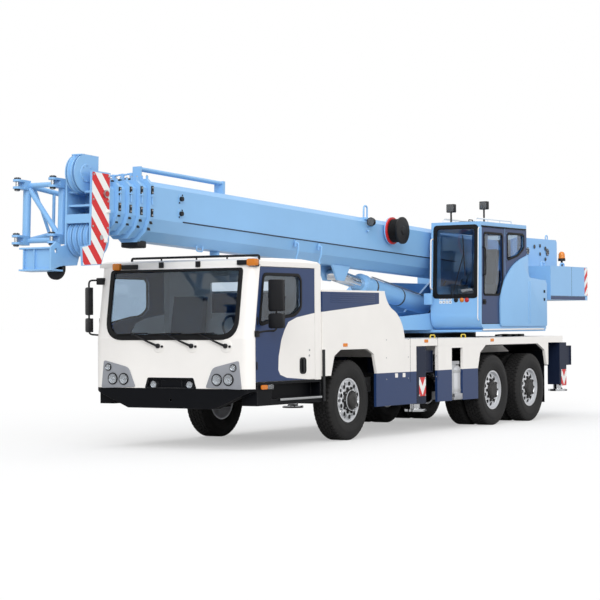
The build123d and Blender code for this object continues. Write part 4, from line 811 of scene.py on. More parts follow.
def ring_of(count, x, y, radius, phase=0.0, z=WHEEL_Z):
    """Points on a circle that stands square to Y."""
    return [Vector((x + radius * math.cos(math.tau * (i + phase) / count), y,
                    z + radius * math.sin(math.tau * (i + phase) / count))) for i in range(count)]


def fit_hub(label, body, x, disc, end, mark):
    """Hub drum from the disc's face to its end, with its cap, nuts and studs."""
    dark, bright = bmesh.new(), bmesh.new()
    reach = end - disc
    lathe(dark, [(mark * d, r) for d, r in (
        (0.0, 0.0), (0.0, 0.152), (0.012, 0.152), (0.02, 0.143), (reach - 0.012, 0.1415),
        (reach + 0.001, 0.134), (reach + 0.002, 0.108), (reach + 0.016, 0.104), (reach + 0.026, 0.09),
        (reach + 0.028, 0.04), (reach + 0.024, 0.036), (reach + 0.024, 0.0))],
          (x, disc * mark, WHEEL_Z), "y", 40)
    bolts(dark, ring_of(NUTS, x, mark * (end + 0.002), 0.121, 0.5), (0, mark, 0), 0.009, 0.010)
    for spot in ring_of(NUTS, x, mark * disc, 0.168):
        for parts, reach, radius, sides in ((dark, 0.004, 0.023, 16), (dark, 0.026, 0.0165, 6),
                                            (bright, 0.038, 0.009, 10)):
            bar(parts, spot, spot + Vector((0, mark * reach, 0)), radius, sides)
    piece(f"hub_{label}", dark, hub_iron, body)
    piece(f"wheel_studs_{label}", bright, bright_zinc, body)


for side, mark in SIDES:
    fit_hub(f"front_{side}", f"front_wheel_{side}", AXLE_X, FRONT_Y + 0.128, FRONT_Y + 0.175, mark)
    for number, x in zip("12", REAR_X):
        fit_hub(f"rear_{number}_{side}", f"rear_wheels_{number}_{side}", x, DUAL_Y + 0.014,
                DUAL_Y + 0.235, mark)

# %% [markdown]
# ## Outlines, frames and lamps
# Windows sit in rubber frames, and lamps are all built alike: a ring, a bright bowl and a lens. Three
# helpers keep that short. `rounded` turns corners into arcs, `surround` makes a flat ring between two
# outlines that is laid on any face, and `lamp` turns the three parts of a round lamp.

# %% Outline, frame and lamp helpers
def rounded(corners, radii, steps=6):
    """Round each corner of an outline; every corner becomes the same number of points."""
    if not isinstance(radii, (list, tuple)):
        radii = [radii] * len(corners)
    line = []
    for i, (corner, radius) in enumerate(zip(corners, radii)):
        corner = Vector(corner)
        before, after = Vector(corners[i - 1]), Vector(corners[(i + 1) % len(corners)])
        into, out = (before - corner), (after - corner)
        reach = min(radius, into.length * 0.48, out.length * 0.48)
        start, end = corner + into.normalized() * reach, corner + out.normalized() * reach
        for step in range(steps + 1):
            t = step / steps
            line.append(tuple(start.lerp(corner, t).lerp(corner.lerp(end, t), t)))
    return line


def surround(shape, outer, inner, lay, thick, sunk=0.004):
    """Lay a flat ring between two outlines on a face; lay(a, b, out) gives a point of that face."""
    part = bmesh.new()
    loops = [[part.verts.new(lay(a, b, out)) for a, b in outline]
             for outline, out in ((outer, -sunk), (outer, thick * 0.7),
                                  ([(a + (c - a) * 0.12, b + (d - b) * 0.12)
                                    for (a, b), (c, d) in zip(outer, inner)], thick),
                                  (inner, thick), (inner, -sunk))]
    for first, second in zip(loops, loops[1:] + loops[:1]):
        for i in range(len(first)):
            j = (i + 1) % len(first)
            part.faces.new((first[i], first[j], second[j], second[i]))
    merge(shape, part)


def pane(shape, outline, lay, low=0.0, high=0.004):
    """Lay a flat plate with an outline on a face."""
    part = bmesh.new()
    loops = [[part.verts.new(lay(a, b, out)) for a, b in outline] for out in (low, high)]
    part.faces.new(loops[0])
    part.faces.new(loops[1])
    for i in range(len(outline)):
        j = (i + 1) % len(outline)
        part.faces.new((loops[0][i], loops[0][j], loops[1][j], loops[1][i]))
    merge(shape, part)


def pointing(direction, spot):
    """The matrix that turns +X to a direction and moves the origin to a spot."""
    turn = Vector(direction).to_track_quat("X", "Z").to_matrix().to_4x4()
    return Matrix.Translation(Vector(spot)) @ turn


def lamp(parts, spot, radius, direction=(1, 0, 0), deep=0.014):
    """Add a round lamp: parts holds the shapes for its ring, bowl and lens."""
    place = pointing(direction, spot)
    ring, bowl, lens = parts
    outer, r = radius * 1.22, radius
    lathe(ring, [(-0.004, outer), (deep * 0.7, outer * 0.99), (deep, outer * 0.93), (deep, r * 1.04),
                 (deep * 0.6, r), (-0.004, r), (-0.004, outer)], (0, 0, 0), "x", 28, place)
    lathe(bowl, [(-0.004, 0), (-0.004, r * 0.99), (deep * 0.55, r * 0.99), (deep * 0.15, r * 0.6),
                 (0.0, r * 0.26), (deep * 0.35, r * 0.22), (deep * 0.5, r * 0.1),
                 (deep * 0.5, 0)], (0, 0, 0), "x", 28, place)
    lathe(lens, [(deep * 0.62, 0), (deep * 0.62, r * 0.985), (deep * 0.95, r * 0.98),
                 (deep * 1.25, r * 0.7), (deep * 1.4, 0)], (0, 0, 0), "x", 28, place)


def lamp_pieces(name, lamps):
    """Turn the three shapes of a lamp group into objects on the carrier."""
    finishes = (black_plastic, lamp_mirror, clear_lens)
    for part, shape, finish in zip(("rings", "bowls", "lenses"), lamps, finishes):
        piece(f"{name}_{part}", shape, finish, "carrier")


print("outline helpers ready")

# %% [markdown]
# ## The face of the driver's cab
# The windscreen is held by a black rubber frame with two large lower corners. Below it three wipers
# rest on their pivots, and grey lamp clusters fill the outer corners. The front face is upright up to
# the windscreen's foot and leans back above it, so one function gives a point on the face from its
# width and height, and everything is laid on with it.

# %% Windscreen frame and wipers
SCREEN_FOOT = 1.40
RAKE = (CAB_FRONT - ROOF_FRONT) / (CAB_CROWN - SCREEN_FOOT)
LEANING = Vector((1, 0, RAKE)).normalized()


def on_front(y, z, out=0.0):
    spot = Vector((CAB_FRONT - max(0.0, z - SCREEN_FOOT) * RAKE, y, z))
    return spot + (LEANING if z > SCREEN_FOOT else AXES["x"]) * out


def screen_outline(half, low, high, big, small):
    return rounded([(-half, high), (-half, low), (half, low), (half, high)], [small, big, big, small], 8)


rubber = bmesh.new()
surround(rubber, screen_outline(1.032, 1.384, 2.292, 0.27, 0.05),
         screen_outline(0.972, 1.452, 2.258, 0.22, 0.03),
         on_front, 0.010)
piece("windscreen_frame", rubber, seal_rubber, "carrier")

arms, caps, rubber = meshes(3)
WIPER_Z, BLADE_Z, BLADE_SHIFT, BLADE_SPAN = 1.31, 1.462, -0.40, (-0.27, 0.23)
for pivot_y in (-0.182, 0.337, 0.855):
    pivot = on_front(pivot_y, WIPER_Z)
    blade_y = pivot_y + BLADE_SHIFT
    tip = on_front(blade_y, BLADE_Z, 0.050)
    lathe(caps, [(-0.002, 0), (-0.002, 0.088), (0.003, 0.088), (0.006, 0.080), (0.006, 0)], pivot, "x",
          32)
    lathe(arms, [(0.0, 0), (0.0, 0.030), (0.030, 0.030), (0.042, 0.020), (0.046, 0)], pivot, "x", 20)
    lathe(arms, [(0.0, 0), (0.0, 0.016), (0.024, 0.015), (0.026, 0)],
          pivot + Vector((0, 0.062, -0.008)), "x", 14)
    root = pivot + Vector((0.030, 0, 0))
    knee = root.lerp(tip, 0.42) + Vector((0.016, 0, 0))
    bar(arms, root, knee, 0.016, 10, 0.012)
    bar(arms, knee, tip, 0.010, 10, 0.007)
    for across in BLADE_SPAN:
        bar(arms, tip, on_front(blade_y + across * 0.5, BLADE_Z + across * 0.012, 0.032), 0.006, 8)
    ends = [on_front(blade_y + across, BLADE_Z + across * 0.03, 0.014) for across in BLADE_SPAN]
    bar(arms, ends[0] + LEANING * 0.014, ends[1] + LEANING * 0.014, 0.008, 8)
    bar(rubber, ends[0], ends[1], 0.006, 6)
pieces("carrier", wiper_arms=(arms, black_plastic), wiper_blades=(rubber, seal_rubber),
       wiper_caps=(caps, white_enamel))

# %% [markdown]
# ## Headlamps and fog lamps
# Each front corner has a grey bezel with two large lamps and a small one, and the bumper's recess holds
# two fog lamps. The bezel is a pushed outline, mirrored by its sign. The lamps share the turned one
# above, and all rings, bowls and lenses of a group are one object each, as they share a finish.

# %% Lamp clusters and fog lamps
bezel, *lamps = meshes(4)
for side in (-1, 1):
    outline = [(side * 0.548, 0.782), (side * 0.655, 1.036), (side * 1.048, 1.126), (side * 1.088, 0.763)]
    prism(bezel, rounded(outline, [0.03, 0.06, 0.03, 0.03], 4), "x", CAB_FRONT - 0.004,
          CAB_FRONT + 0.016, 0.006)
    for y, z, radius in ((0.725, 0.885, 0.064), (0.900, 0.888, 0.064), (0.972, 1.036, 0.040)):
        lamp(lamps, (CAB_FRONT + 0.016, side * y, z), radius)
    bolts(bezel, [(CAB_FRONT + 0.016, side * y, z) for y,
                  z in ((0.61, 0.815), (1.045, 0.80), (0.72, 1.015))],
          (1, 0, 0), 0.006, 0.004)
piece("headlamp_bezels", bezel, grey_plastic, "carrier")
lamp_pieces("headlamp", lamps)

backing, *lamps = meshes(4)
FOG_X, FOG_Y, FOG_Z = CAB_FRONT - 0.034, 0.28, 0.816
prism(backing, [(-0.395, 0.742), (0.395, 0.742), (0.356, 0.896), (-0.356, 0.896)], "x", FOG_X - 0.004,
      FOG_X)
surround(backing, rounded([(-0.402, 0.765), (0.402, 0.765), (0.356, 0.906), (-0.356, 0.906)], 0.02, 3),
         rounded([(-0.370, 0.775), (0.370, 0.775), (0.330, 0.888), (-0.330, 0.888)], 0.02, 3),
         lambda y, z, out: Vector((CAB_FRONT + out, y, z)), 0.004, 0.038)
slab(backing, (FOG_X, -0.16, 0.765), (FOG_X + 0.012, 0.16, 0.870), 0.006)
for side in (-1, 1):
    lathe(backing, [(0, 0.072), (0.016, 0.070), (0.016, 0.050), (0, 0.050), (0, 0.072)],
          (FOG_X, side * FOG_Y, FOG_Z), "x", 28)
    lamp(lamps, (FOG_X + 0.002, side * FOG_Y, FOG_Z), 0.046)
piece("fog_lamp_panel", backing, bumper_enamel, "carrier")
lamp_pieces("fog_lamp", lamps)

# %% [markdown]
# ## Hand holes and rear dishes
# Ten round hand holes lighten each wheel disc, and a thin dark disc in each is painted shade. The rear
# pairs show a dished outer disc between hub and rim, turned here, with the same holes and a ring of nuts.

# %% Hand holes and dishes
def fit_holes(label, body, x, face, mark, ring_radius, hole, slope=0.0):
    """Thin dark discs of painted shade in round openings, with a pressed lip, laid on a disc or a cone.
    """
    dark, lip = bmesh.new(), bmesh.new()
    middle = Vector((x, mark * face, WHEEL_Z))
    for spot in ring_of(NUTS, *middle.xy, ring_radius, 0.5):
        facing = ((spot - middle).normalized() * slope + AXES["y"] * mark).normalized()
        # The dark disc fills the opening as painted shade.
        bar(dark, spot - facing * 0.004, spot + facing * 0.003, hole, 20)
        bar(lip, spot - facing * 0.004, spot + facing * 0.0022, hole * 1.10, 20)
    piece(f"hand_hole_shade_{label}", dark, seal_rubber, body)
    piece(f"hole_lips_{label}", lip, wheel_silver, body)


for side, mark in SIDES:
    for number, x in zip("12", REAR_X):
        body, (dish, nuts) = f"rear_wheels_{number}_{side}", meshes(2)
        lathe(dish, [(mark * (DUAL_Y + d), r) for d, r in (
            (0.236, 0.2845), (0.246, 0.270), (0.232, 0.262), (0.262, 0.172), (0.266, 0.150),
            (0.250, 0.150),
            (0.222, 0.264), (0.226, 0.2845), (0.236, 0.2845))], (x, 0.0, WHEEL_Z), "y", 64)
        piece(f"rear_dish_{number}_{side}", dish, wheel_silver, body)
        bolts(nuts, ring_of(NUTS, x, mark * (DUAL_Y + 0.264), 0.166), (0, mark, 0), 0.0165, 0.026)
        lathe(nuts, [(mark * (DUAL_Y + d), r) for d, r in (
            (0.245, 0.0), (0.245, 0.151), (0.266, 0.150), (0.272, 0.138), (0.292, 0.132), (0.300, 0.112),
            (0.304, 0.060), (0.298, 0.0))], (x, 0.0, WHEEL_Z), "y", 48)
        bolts(nuts, ring_of(NUTS, x, mark * (DUAL_Y + 0.2985), 0.098, 0.5), (0, mark, 0), 0.009, 0.010)
        piece(f"rear_nuts_{number}_{side}", nuts, hub_iron, body)
        fit_holes(f"rear_{number}_{side}", body, x, DUAL_Y + 0.2475, mark, 0.2155, 0.031, 0.33)
    fit_holes(f"front_{side}", f"front_wheel_{side}", AXLE_X, FRONT_Y + 0.1285, mark, 0.2245, 0.0305)

# %% [markdown]
# ## Doors, glass and handles
# Each door window is a tinted pane in a black rubber seal that lies on the door's skin. `inset` moves
# every side of an outline inwards, so one outline gives the pane, the seal and its lip. The parts ride on
# the door's own body and swing with it.


# %% Doors
def inset(outline, by):
    """Move each side of an outline towards its middle; a negative distance grows it."""
    area = sum(a * d - c * b for (a, b), (c, d) in zip(outline, outline[1:] + outline[:1]))
    sense = 1.0 if area > 0 else -1.0
    lines = []
    for (a, b), (c, d) in zip(outline, outline[1:] + outline[:1]):
        side = Vector((c - a, d - b)).normalized()
        lines.append((Vector((a, b)) + Vector((-side.y, side.x)) * by * sense, side))
    found = []
    for (first, along), (second, other) in zip(lines[-1:] + lines[:-1], lines):
        turn = along.x * other.y - along.y * other.x
        gap = second - first
        share = (gap.x * other.y - gap.y * other.x) / turn if abs(turn) > 1e-6 else 0.0
        found.append(tuple(first + along * share))
    return found


def on_side(mark, face):
    return lambda a, b, out=0.0: (a, mark * (face + out), b)


def oval(x, z, width, height, round_by=None):
    half, tall = width / 2, height / 2
    return rounded([(x - half, z - tall), (x + half, z - tall), (x + half, z + tall),
                    (x - half, z + tall)],
                   min(half, tall) if round_by is None else round_by)


DOOR_FACE, DOOR_EDGE, DOOR_KNEE = 1.225, 3.93, 1.50


def front_edge(z):
    """Where the door's front edge is at a height; it leans with the windscreen above its knee."""
    return DOOR_EDGE - max(0.0, z - DOOR_KNEE) * RAKE


DOOR_WINDOW = rounded([(2.90, 2.21), (2.84, 2.15), (2.84, 1.79), (3.00, 1.69), (3.19, 1.68),
                       (front_edge(1.57) - 0.075, 1.57), (front_edge(2.21) - 0.075, 2.21)],
                      [0.03, 0.03, 0.06, 0.08, 0.08, 0.07, 0.07], 3)
for side, mark in SIDES:
    seal, glass, handle, key = meshes(4)
    lay = on_side(mark, DOOR_FACE)
    surround(seal, inset(DOOR_WINDOW, -0.020), inset(DOOR_WINDOW, 0.020), lay, 0.009)
    pane(glass, inset(DOOR_WINDOW, 0.004), on_side(mark, DOOR_FACE - 0.03), 0.0, 0.006)
    pane(handle, oval(2.805, 1.04, 0.15, 0.21, 0.055), lay, -0.003, 0.005)
    surround(handle, oval(2.805, 1.04, 0.155, 0.215, 0.057), oval(2.805, 1.04, 0.135, 0.195, 0.05), lay,
             0.010)
    slab(handle, (2.787, mark * (DOOR_FACE + 0.004), 0.955), (2.823, mark * (DOOR_FACE + 0.024), 1.125),
         0.008)
    for spot in ((2.637, 1.239), (2.643, 1.168)):
        bar(key, lay(*spot, -0.003), lay(*spot, 0.005), 0.014, 20)
        bar(key, lay(*spot, 0.005), lay(*spot, 0.007), 0.008, 16)
    for z in (1.06, 1.62):
        slab(handle, (front_edge(z) - 0.030, mark * (DOOR_FACE - 0.002), z - 0.05),
             (front_edge(z) - 0.008, mark * (DOOR_FACE + 0.012), z + 0.05), 0.004)
    body = f"door_{side}"
    piece(f"door_seal_{side}", seal, seal_rubber, body)
    piece(f"door_window_{side}", glass, window_glass, body, smooth=20)
    piece(f"door_handle_{side}", handle, black_plastic, body)
    piece(f"door_locks_{side}", key, bright_zinc, body)

# %% [markdown]
# ## Cab roof, side strips and markers
# A black rail runs across the roof above the windscreen and amber lamps stand at its ends. Along the
# sides a bright strip edges the step, and reflectors sit on the bumper's flank.

# %% Roof and flanks
rail, amber, clear_lamp, bright, black = meshes(5)
RAIL_X, RAIL_RISE, STRIP_FACE = 3.80, 0.055, BODY_FACE + 0.0045
staple(rail, (RAIL_X, -0.771, ROOF_TOP - 0.03), (RAIL_X, 1.20, ROOF_TOP - 0.03), (0, 0, RAIL_RISE),
       0.016, 0.05)
for y in (-0.30, 0.25, 0.72):
    bar(rail, (RAIL_X, y, ROOF_TOP - 0.02), (RAIL_X, y, ROOF_TOP - 0.03 + RAIL_RISE), 0.011)
for low, high, foot in ((-0.854, -0.604, 2.300), (0.945, 1.092, 2.325)):
    slab(black, (3.84, low, foot), (3.925, high, foot + 0.062), 0.008)
for low, high, foot in ((-0.992, -0.870, 2.292), (1.100, 1.236, 2.310)):
    slab(amber, (3.85, low, foot), (3.945, high, foot + 0.092), 0.024)
    slab(black, (3.83, low + 0.010, foot - 0.008), (3.90, high - 0.010, foot + 0.080), 0.010)
for y in (-0.230, 0.342):
    slab(black, (3.84, y - 0.034, 2.310), (3.915, y + 0.034, 2.386), 0.006)
for mark in (1, -1):
    pane(amber, oval(3.77, 0.79, 0.14, 0.055, 0.02), on_side(mark, BODY_FACE), -0.004, 0.010)
    pane(clear_lamp, oval(3.615, 0.79, 0.13, 0.055, 0.02), on_side(mark, BODY_FACE), -0.004, 0.007)
    slab(bright, (2.36, mark * (BODY_FACE - 0.002), 0.606), (3.39, mark * STRIP_FACE, 0.634), 0.002)
    slab(black, (2.272, mark * (BODY_FACE - 0.013), 0.56), (2.328, mark * STRIP_FACE, 1.24), 0.004)
pieces("carrier", roof_rail=(rail, black_plastic), roof_brackets=(black, black_plastic),
       amber_lamps=(amber, amber_lens), flank_lamps=(clear_lamp, clear_lens),
       step_strips=(bright, bright_zinc))

# %% [markdown]
# ## Mirrors
# The mirrors are moulded cases with a rounded back, a rim and a bright glass that looks rearwards. They
# stand in for the plain cases of the construction and hang on bent tubes. The left pair rides on its
# door, and the right pair on the cab's front pillar.


# %% Mirrors
def mirror_head(case, glass, x, y, width, low, high, turn, depth=0.07):
    place = Matrix.Translation((x, y, 0)) @ Matrix.Rotation(math.radians(turn), 4, "Z")
    half = width / 2
    slab(case, (-depth * 0.30, -half, low), (depth / 2, half, high), 0.028, place)
    slab(case, (-depth / 2, -half + 0.004, low + 0.004), (-depth * 0.2, half - 0.004, high - 0.004),
         0.010, place)
    slab(glass, (-depth / 2 - 0.0015, -half + 0.018, low + 0.018),
         (-depth / 2 + 0.003, half - 0.018, high - 0.018),
         0.0, place)


MIRROR_LEFT, MIRROR_RIGHT = (3.72, 1.405), (3.99, -1.335)
case, glass, arm = meshes(3)
for low, high in ((1.525, 1.715), (1.74, 2.14)):
    mirror_head(case, glass, *MIRROR_LEFT, 0.22, low, high, 0)
bent_bar(arm, [(3.90, 1.222, 1.47), (3.86, 1.30, 1.49), (*MIRROR_LEFT, 1.50), (*MIRROR_LEFT, 2.0)],
         0.012, 0.05)
slab(arm, (3.86, 1.215, 1.42), (3.945, 1.245, 1.50), 0.008)
bar(arm, (3.546, 1.222, 1.493), (3.546, 1.262, 1.493), 0.012)
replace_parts(piece("mirror_cases_left", case, black_plastic, "door_left", smooth=45), "cab_mirror_left")
pieces("door_left", mirror_glass_left=(glass, mirror_glass), mirror_arm_left=(arm, black_plastic))
case, glass, arm = meshes(3)
for low, high in ((1.485, 1.675), (1.71, 2.08)):
    mirror_head(case, glass, *MIRROR_RIGHT, 0.14, low, high, -30)
bent_bar(arm, [(3.94, -1.20, 1.45), (*MIRROR_RIGHT, 1.46), (*MIRROR_RIGHT, 2.17), (3.85, -1.20, 2.17)],
         0.012, 0.05)
slab(case, (3.87, -1.232, 2.11), (3.97, -1.13, 2.20), 0.012)
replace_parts(piece("mirror_cases_right", case, black_plastic, "carrier", smooth=45), "cab_mirror_right")
pieces("carrier", mirror_glass_right=(glass, mirror_glass), mirror_arm_right=(arm, black_plastic))

# %% [markdown]
# ## Engine housing and side panels
# Both flanks get the things a service hand touches: louvres in the slate band of the engine housing,
# panel seams with quarter-turn fasteners, and orange side markers.

# %% Housing and flank details
slats, seams, markers, screws = meshes(4)
for mark in (1, -1):
    for i in range(5):
        z = 1.862 + i * 0.028
        slab(slats, (0.92, mark * (BODY_FACE - 0.012), z),
             (2.12, mark * (BODY_FACE + 0.003), z + 0.015), 0.003)
    face = on_side(mark, BODY_FACE)
    for x in (-0.10, -0.95):
        slab(seams, (x - 0.003, mark * (BODY_FACE - 0.004), 0.74),
             (x + 0.003, mark * (BODY_FACE + 0.001), 1.40))
    for x, z in ((1.74, 1.293), (-0.589, 1.321), (-2.767, 1.313)):
        pane(markers, oval(x, z, 0.115, 0.045, 0.012), face, -0.003, 0.004)
    for x in (0.60, -0.04, -0.90 if mark > 0 else -0.24):
        for z in (0.80, 1.10, 1.35):
            bar(screws, face(x, z, -0.002), face(x, z, 0.003), 0.009, 12)
pieces("carrier", housing_louvres=(slats, slate_enamel), flank_seams=(seams, seal_rubber),
       side_markers=(markers, amber_lens), flank_fasteners=(screws, bright_zinc))

# %% [markdown]
# ## Outriggers
# Each jack case carries a red and white warning board towards the road, with a bolted frame. The foot is
# a turned pad with a ball seat, and hoses loop from the beam to the jack's head.

# %% Outriggers
for front in ("front", "rear"):
    for side, mark in SIDES:
        low, high = corners(f"outrigger_jack_{front}_{side}")
        beam_low, beam_high = corners(f"outrigger_beam_{front}_{side}")
        outer = mark * max(abs(beam_low.y), abs(beam_high.y))
        plate, heads, hose, foot = meshes(4)
        beam = f"beam_{front}_{side}"
        middle = (low.x + high.x) / 2 - mark * 0.025
        slab(plate, (middle - 0.10, outer - mark * 0.001, 0.53),
             (middle + 0.10, outer + mark * 0.004, 0.80), 0.0)
        bolts(heads, [(middle + dx, outer + mark * 0.004, z)
                      for dx in (-0.085, 0.085) for z in (0.55, 0.78)], (0, mark, 0), 0.007, 0.005)
        head_z = beam_high.z - 0.03
        hose_x, near, far = middle + 0.05, outer - mark * 0.12, outer - mark * 0.24
        bent_bar(hose, [(hose_x, near, head_z - 0.02), (hose_x, near, head_z + 0.024),
                        (hose_x, far, head_z + 0.024), (hose_x, far, head_z - 0.04)], 0.008, 0.03)
        centre_y = (low.y + high.y) / 2
        lathe(foot, [(0.0, 0.0), (0.0, 0.150), (0.012, 0.158), (0.022, 0.150), (0.026, 0.085),
                     (0.052, 0.070), (0.060, 0.0)], (middle, centre_y, low.z + 0.001), "z", 28)
        board = warning_plate(f"Outrigger board {front} {side}", "XZ", 0.27, -1.5, middle + DATUM.x)
        piece(f"warning_board_{front}_{side}", plate, board, beam)
        piece(f"board_bolts_{front}_{side}", heads, bright_zinc, beam)
        piece(f"jack_hose_{front}_{side}", hose, seal_rubber, beam)
        piece(f"jack_foot_{front}_{side}", foot, cast_grey, f"jack_{front}_{side}")

# %% [markdown]
# ## Deck and rear
# On the deck lie two yellow lashing rings and a few fittings. Rear lamps sit on the frame's end, and the
# silencer with its straps fills the gap in the flank.

# %% Deck fittings, silencer and rear lamps
RING_Y, TAIL_X = 1.16, -5.978
rings, clutter, silver, straps, red_part, amber_part = meshes(6)
for x in (-0.95, -1.95):
    staple(rings, (x - 0.07, RING_Y, DECK_TOP - 0.010), (x + 0.07, RING_Y, DECK_TOP - 0.010),
           (0, 0, 0.06),
       0.009, 0.045)
for x, length in ((-4.22, 0.18), (-4.50, 0.10), (-4.72, 0.16)):
    for y in (0.80, -0.80):
        slab(clutter, (x - length / 2, y - 0.05, DECK_TOP - 0.005),
             (x + length / 2, y + 0.05, DECK_TOP + 0.040), 0.010)
bent_bar(clutter, [(-4.80, 0.72, DECK_TOP + 0.020), (-4.30, 0.72, DECK_TOP + 0.030),
                   (-4.10, 0.66, DECK_TOP + 0.020)], 0.014, 0.08)
SILENCER = (-1.66, 1.055, 0.0)
lathe(silver, [(0.47, 0.0), (0.47, 0.165), (0.49, 0.180), (0.90, 0.180), (0.945, 0.150), (0.955, 0.0)],
      SILENCER, "z", 36)
for z in (0.56, 0.84):
    lathe(straps, [(z, 0.1805), (z, 0.185), (z + 0.035, 0.185), (z + 0.035, 0.1805)], SILENCER, "z", 36)
slab(silver, (-1.83, 0.98, 0.435), (-1.49, 1.235, 0.475), 0.008)
slab(silver, (-1.81, 1.228, 0.44), (-1.51, 1.240, 0.53), 0.006)
for side, mark in SIDES:
    for x in (0.313, 0.092):
        tag = bmesh.new()
        pane(tag, oval(x, 0.847, 0.075, 0.060, 0.008), on_side(mark, BODY_FACE), -0.002, 0.004)
        piece(f"skirt_tag_{side}_{int(x * 1000)}", tag, white_enamel, "carrier")
for mark in (1, -1):
    for shape, y in ((red_part, mark * 0.40), (amber_part, mark * 0.28)):
        slab(shape, (TAIL_X - 0.007, y - 0.05, 0.84), (TAIL_X - 0.001, y + 0.05, 0.93), 0.002)
pieces("carrier", deck_lashing_rings=(rings, yellow_enamel), deck_fittings=(clutter, black_plastic),
       silencer=(silver, brushed_tank), silencer_straps=(straps, bright_zinc),
       rear_stop_lamps=(red_part, red_lens), rear_turn_lamps=(amber_part, amber_lens))

# %% [markdown]
# ## Operator's cab
# The raised cab has a tall windscreen in a wide black frame, a side door with a long handle, a quarter
# window behind it, white grab rails, two square work lamps on the roof and a mirror on an arm.
# The front face leans a little, so `on_opcab` gives its points.


# %% Operator's cab
OPCAB_FRONT, OPCAB_KNEE, OPCAB_RAKE = -2.35, 1.90, 0.0366


def on_opcab(y, z, out=0.0):
    return Vector((OPCAB_FRONT - max(0.0, z - OPCAB_KNEE) * OPCAB_RAKE + out, y, z))


def frame_round(shape, low, high, lay, grow, shrink, thick, radius=0.05):
    """A rubber frame round a rectangular opening given by two corners."""
    outline = [(low[0], low[1]), (high[0], low[1]), (high[0], high[1]), (low[0], high[1])]
    surround(shape, rounded(inset(outline, -grow), radius),
             rounded(inset(outline, shrink), radius * 0.7),
             lay, thick)


OP_FACE = BODY_FACE
black, rails, lamps, wiper = meshes(4)
frame_round(black, (0.475, 1.99), (1.175, 3.05), on_opcab, 0.035, 0.03, 0.009, 0.07)
bent_bar(wiper, [on_opcab(0.80, 2.00, 0.012), on_opcab(0.80, 2.03, 0.030), on_opcab(0.97, 2.62, 0.026)],
         0.007, 0.02)
bar(wiper, on_opcab(1.00, 2.30, 0.016), on_opcab(0.95, 2.92, 0.016), 0.008)
bar(wiper, on_opcab(0.80, 1.985, 0.0), on_opcab(0.80, 1.985, 0.030), 0.018, 16)
round_lamp = [(0.0, 0.0), (0.0, 0.036), (0.012, 0.034), (0.024, 0.020), (0.026, 0.0)]
for name, y, finish in (("horn", 0.839, black_plastic), ("amber_lamp", 0.941, amber_lens),
                        ("red_lamp", 1.027, red_lens)):
    dome = bmesh.new()
    lathe(dome, round_lamp, on_opcab(y, 1.93), "x", 24)
    piece(f"opcab_{name}", dome, finish, "upper")
signs, marks = meshes(2)
for row in range(2):
    for column in range(4):
        y, z = 0.575 + column * 0.055, 1.952 - row * 0.052
        slab(signs, on_opcab(y - 0.022, z - 0.022, -0.002), on_opcab(y + 0.022, z + 0.022, 0.0015))
        bar(marks, on_opcab(y, z, 0.0014), on_opcab(y, z, 0.0022), 0.012 - 0.003 * ((row + column) % 2),
            3 + column)
pieces("upper", opcab_signs=(signs, white_enamel), opcab_sign_marks=(marks, slate_enamel),
       opcab_screen_frame=(black, seal_rubber), opcab_wiper=(wiper, black_plastic))

# %% [markdown]
# ## Operator's door
# The side door has one tall pane with a cut corner, a black seal and a long upright handle. They ride on
# the door's own body. The seal is the same ring as on the driver's doors, so it looks the same.

# %% Operator's door
door_black, door_glass, door_rail = meshes(3)
face = on_side(1, OP_FACE)
OP_DOOR_WINDOW = rounded([(-2.490, 2.01), (-2.505, 2.96), (-3.16, 2.96), (-3.16, 2.23), (-3.04, 2.01)],
                         0.05, 4)
surround(door_black, inset(OP_DOOR_WINDOW, -0.016), inset(OP_DOOR_WINDOW, 0.018), face, 0.008)
pane(door_glass, inset(OP_DOOR_WINDOW, -0.002), on_side(1, OP_FACE - 0.03), 0.0, 0.005)
bent_bar(door_rail, [(-2.47, OP_FACE + out, z) for out,
                     z in ((-0.004, 2.30), (0.045, 2.32), (0.045, 2.72),
                                                              (-0.004, 2.74))], 0.011, 0.03)
slab(door_black, (-2.56, OP_FACE - 0.003, 1.86), (-2.45, OP_FACE + 0.006, 1.94), 0.006)
slab(door_black, (-2.545, OP_FACE + 0.004, 1.885), (-2.465, OP_FACE + 0.022, 1.915), 0.008)
piece("opdoor_seal", door_black, seal_rubber, "operator_door")
piece("opdoor_glass", door_glass, window_glass, "operator_door", smooth=20)
piece("opdoor_handle", door_rail, black_plastic, "operator_door")

# %% [markdown]
# ## Operator's quarter window, rails and roof
# Behind the door come a quarter window and a slate panel with a stepped top. White rails run up the
# front and along the roof, where the hatch and two work lamps sit. All are plates and bars on the shell.

# %% Quarter window, rails and roof
black, paint, roof, slate = meshes(4)
QUARTER_WINDOW = rounded([(-3.33, 2.56), (-3.33, 2.98), (-3.95, 2.98), (-3.95, 2.76), (-3.72, 2.64)],
                         0.05, 4)
surround(black, inset(QUARTER_WINDOW, -0.016), inset(QUARTER_WINDOW, 0.018), face, 0.008)
slab(black, (-4.02, OP_FACE - 0.002, 3.048), (-2.42, OP_FACE + 0.012, 3.070), 0.003)
for y, foot, head, out, radius in ((0.425, 2.10, 2.88, 0.055, 0.012), (1.222, 1.62, 3.04, 0.030, 0.008)):
    bent_bar(rails, [on_opcab(y, foot, -0.003), on_opcab(y, foot + 0.02, out),
                     on_opcab(y, head - 0.02, out),
                     on_opcab(y, head, -0.003)], radius, 0.03)
for y in (1.10, 0.54):
    staple(rails, (-2.52, y, 3.115), (-3.80, y, 3.115), (0, 0, 0.075), 0.012, 0.05)
    for x in (-2.95, -3.38):
        bar(rails, (x, y, 3.118), (x, y, 3.19), 0.009)
slab(roof, (-3.45, 0.62, 3.122), (-2.75, 1.02, 3.150), 0.012)
slab(roof, (-3.40, 0.67, 3.148), (-2.80, 0.97, 3.158), 0.004)
staple(roof, (-2.85, 0.82, 3.155), (-2.98, 0.82, 3.155), (0, 0, 0.03), 0.008, 0.015)
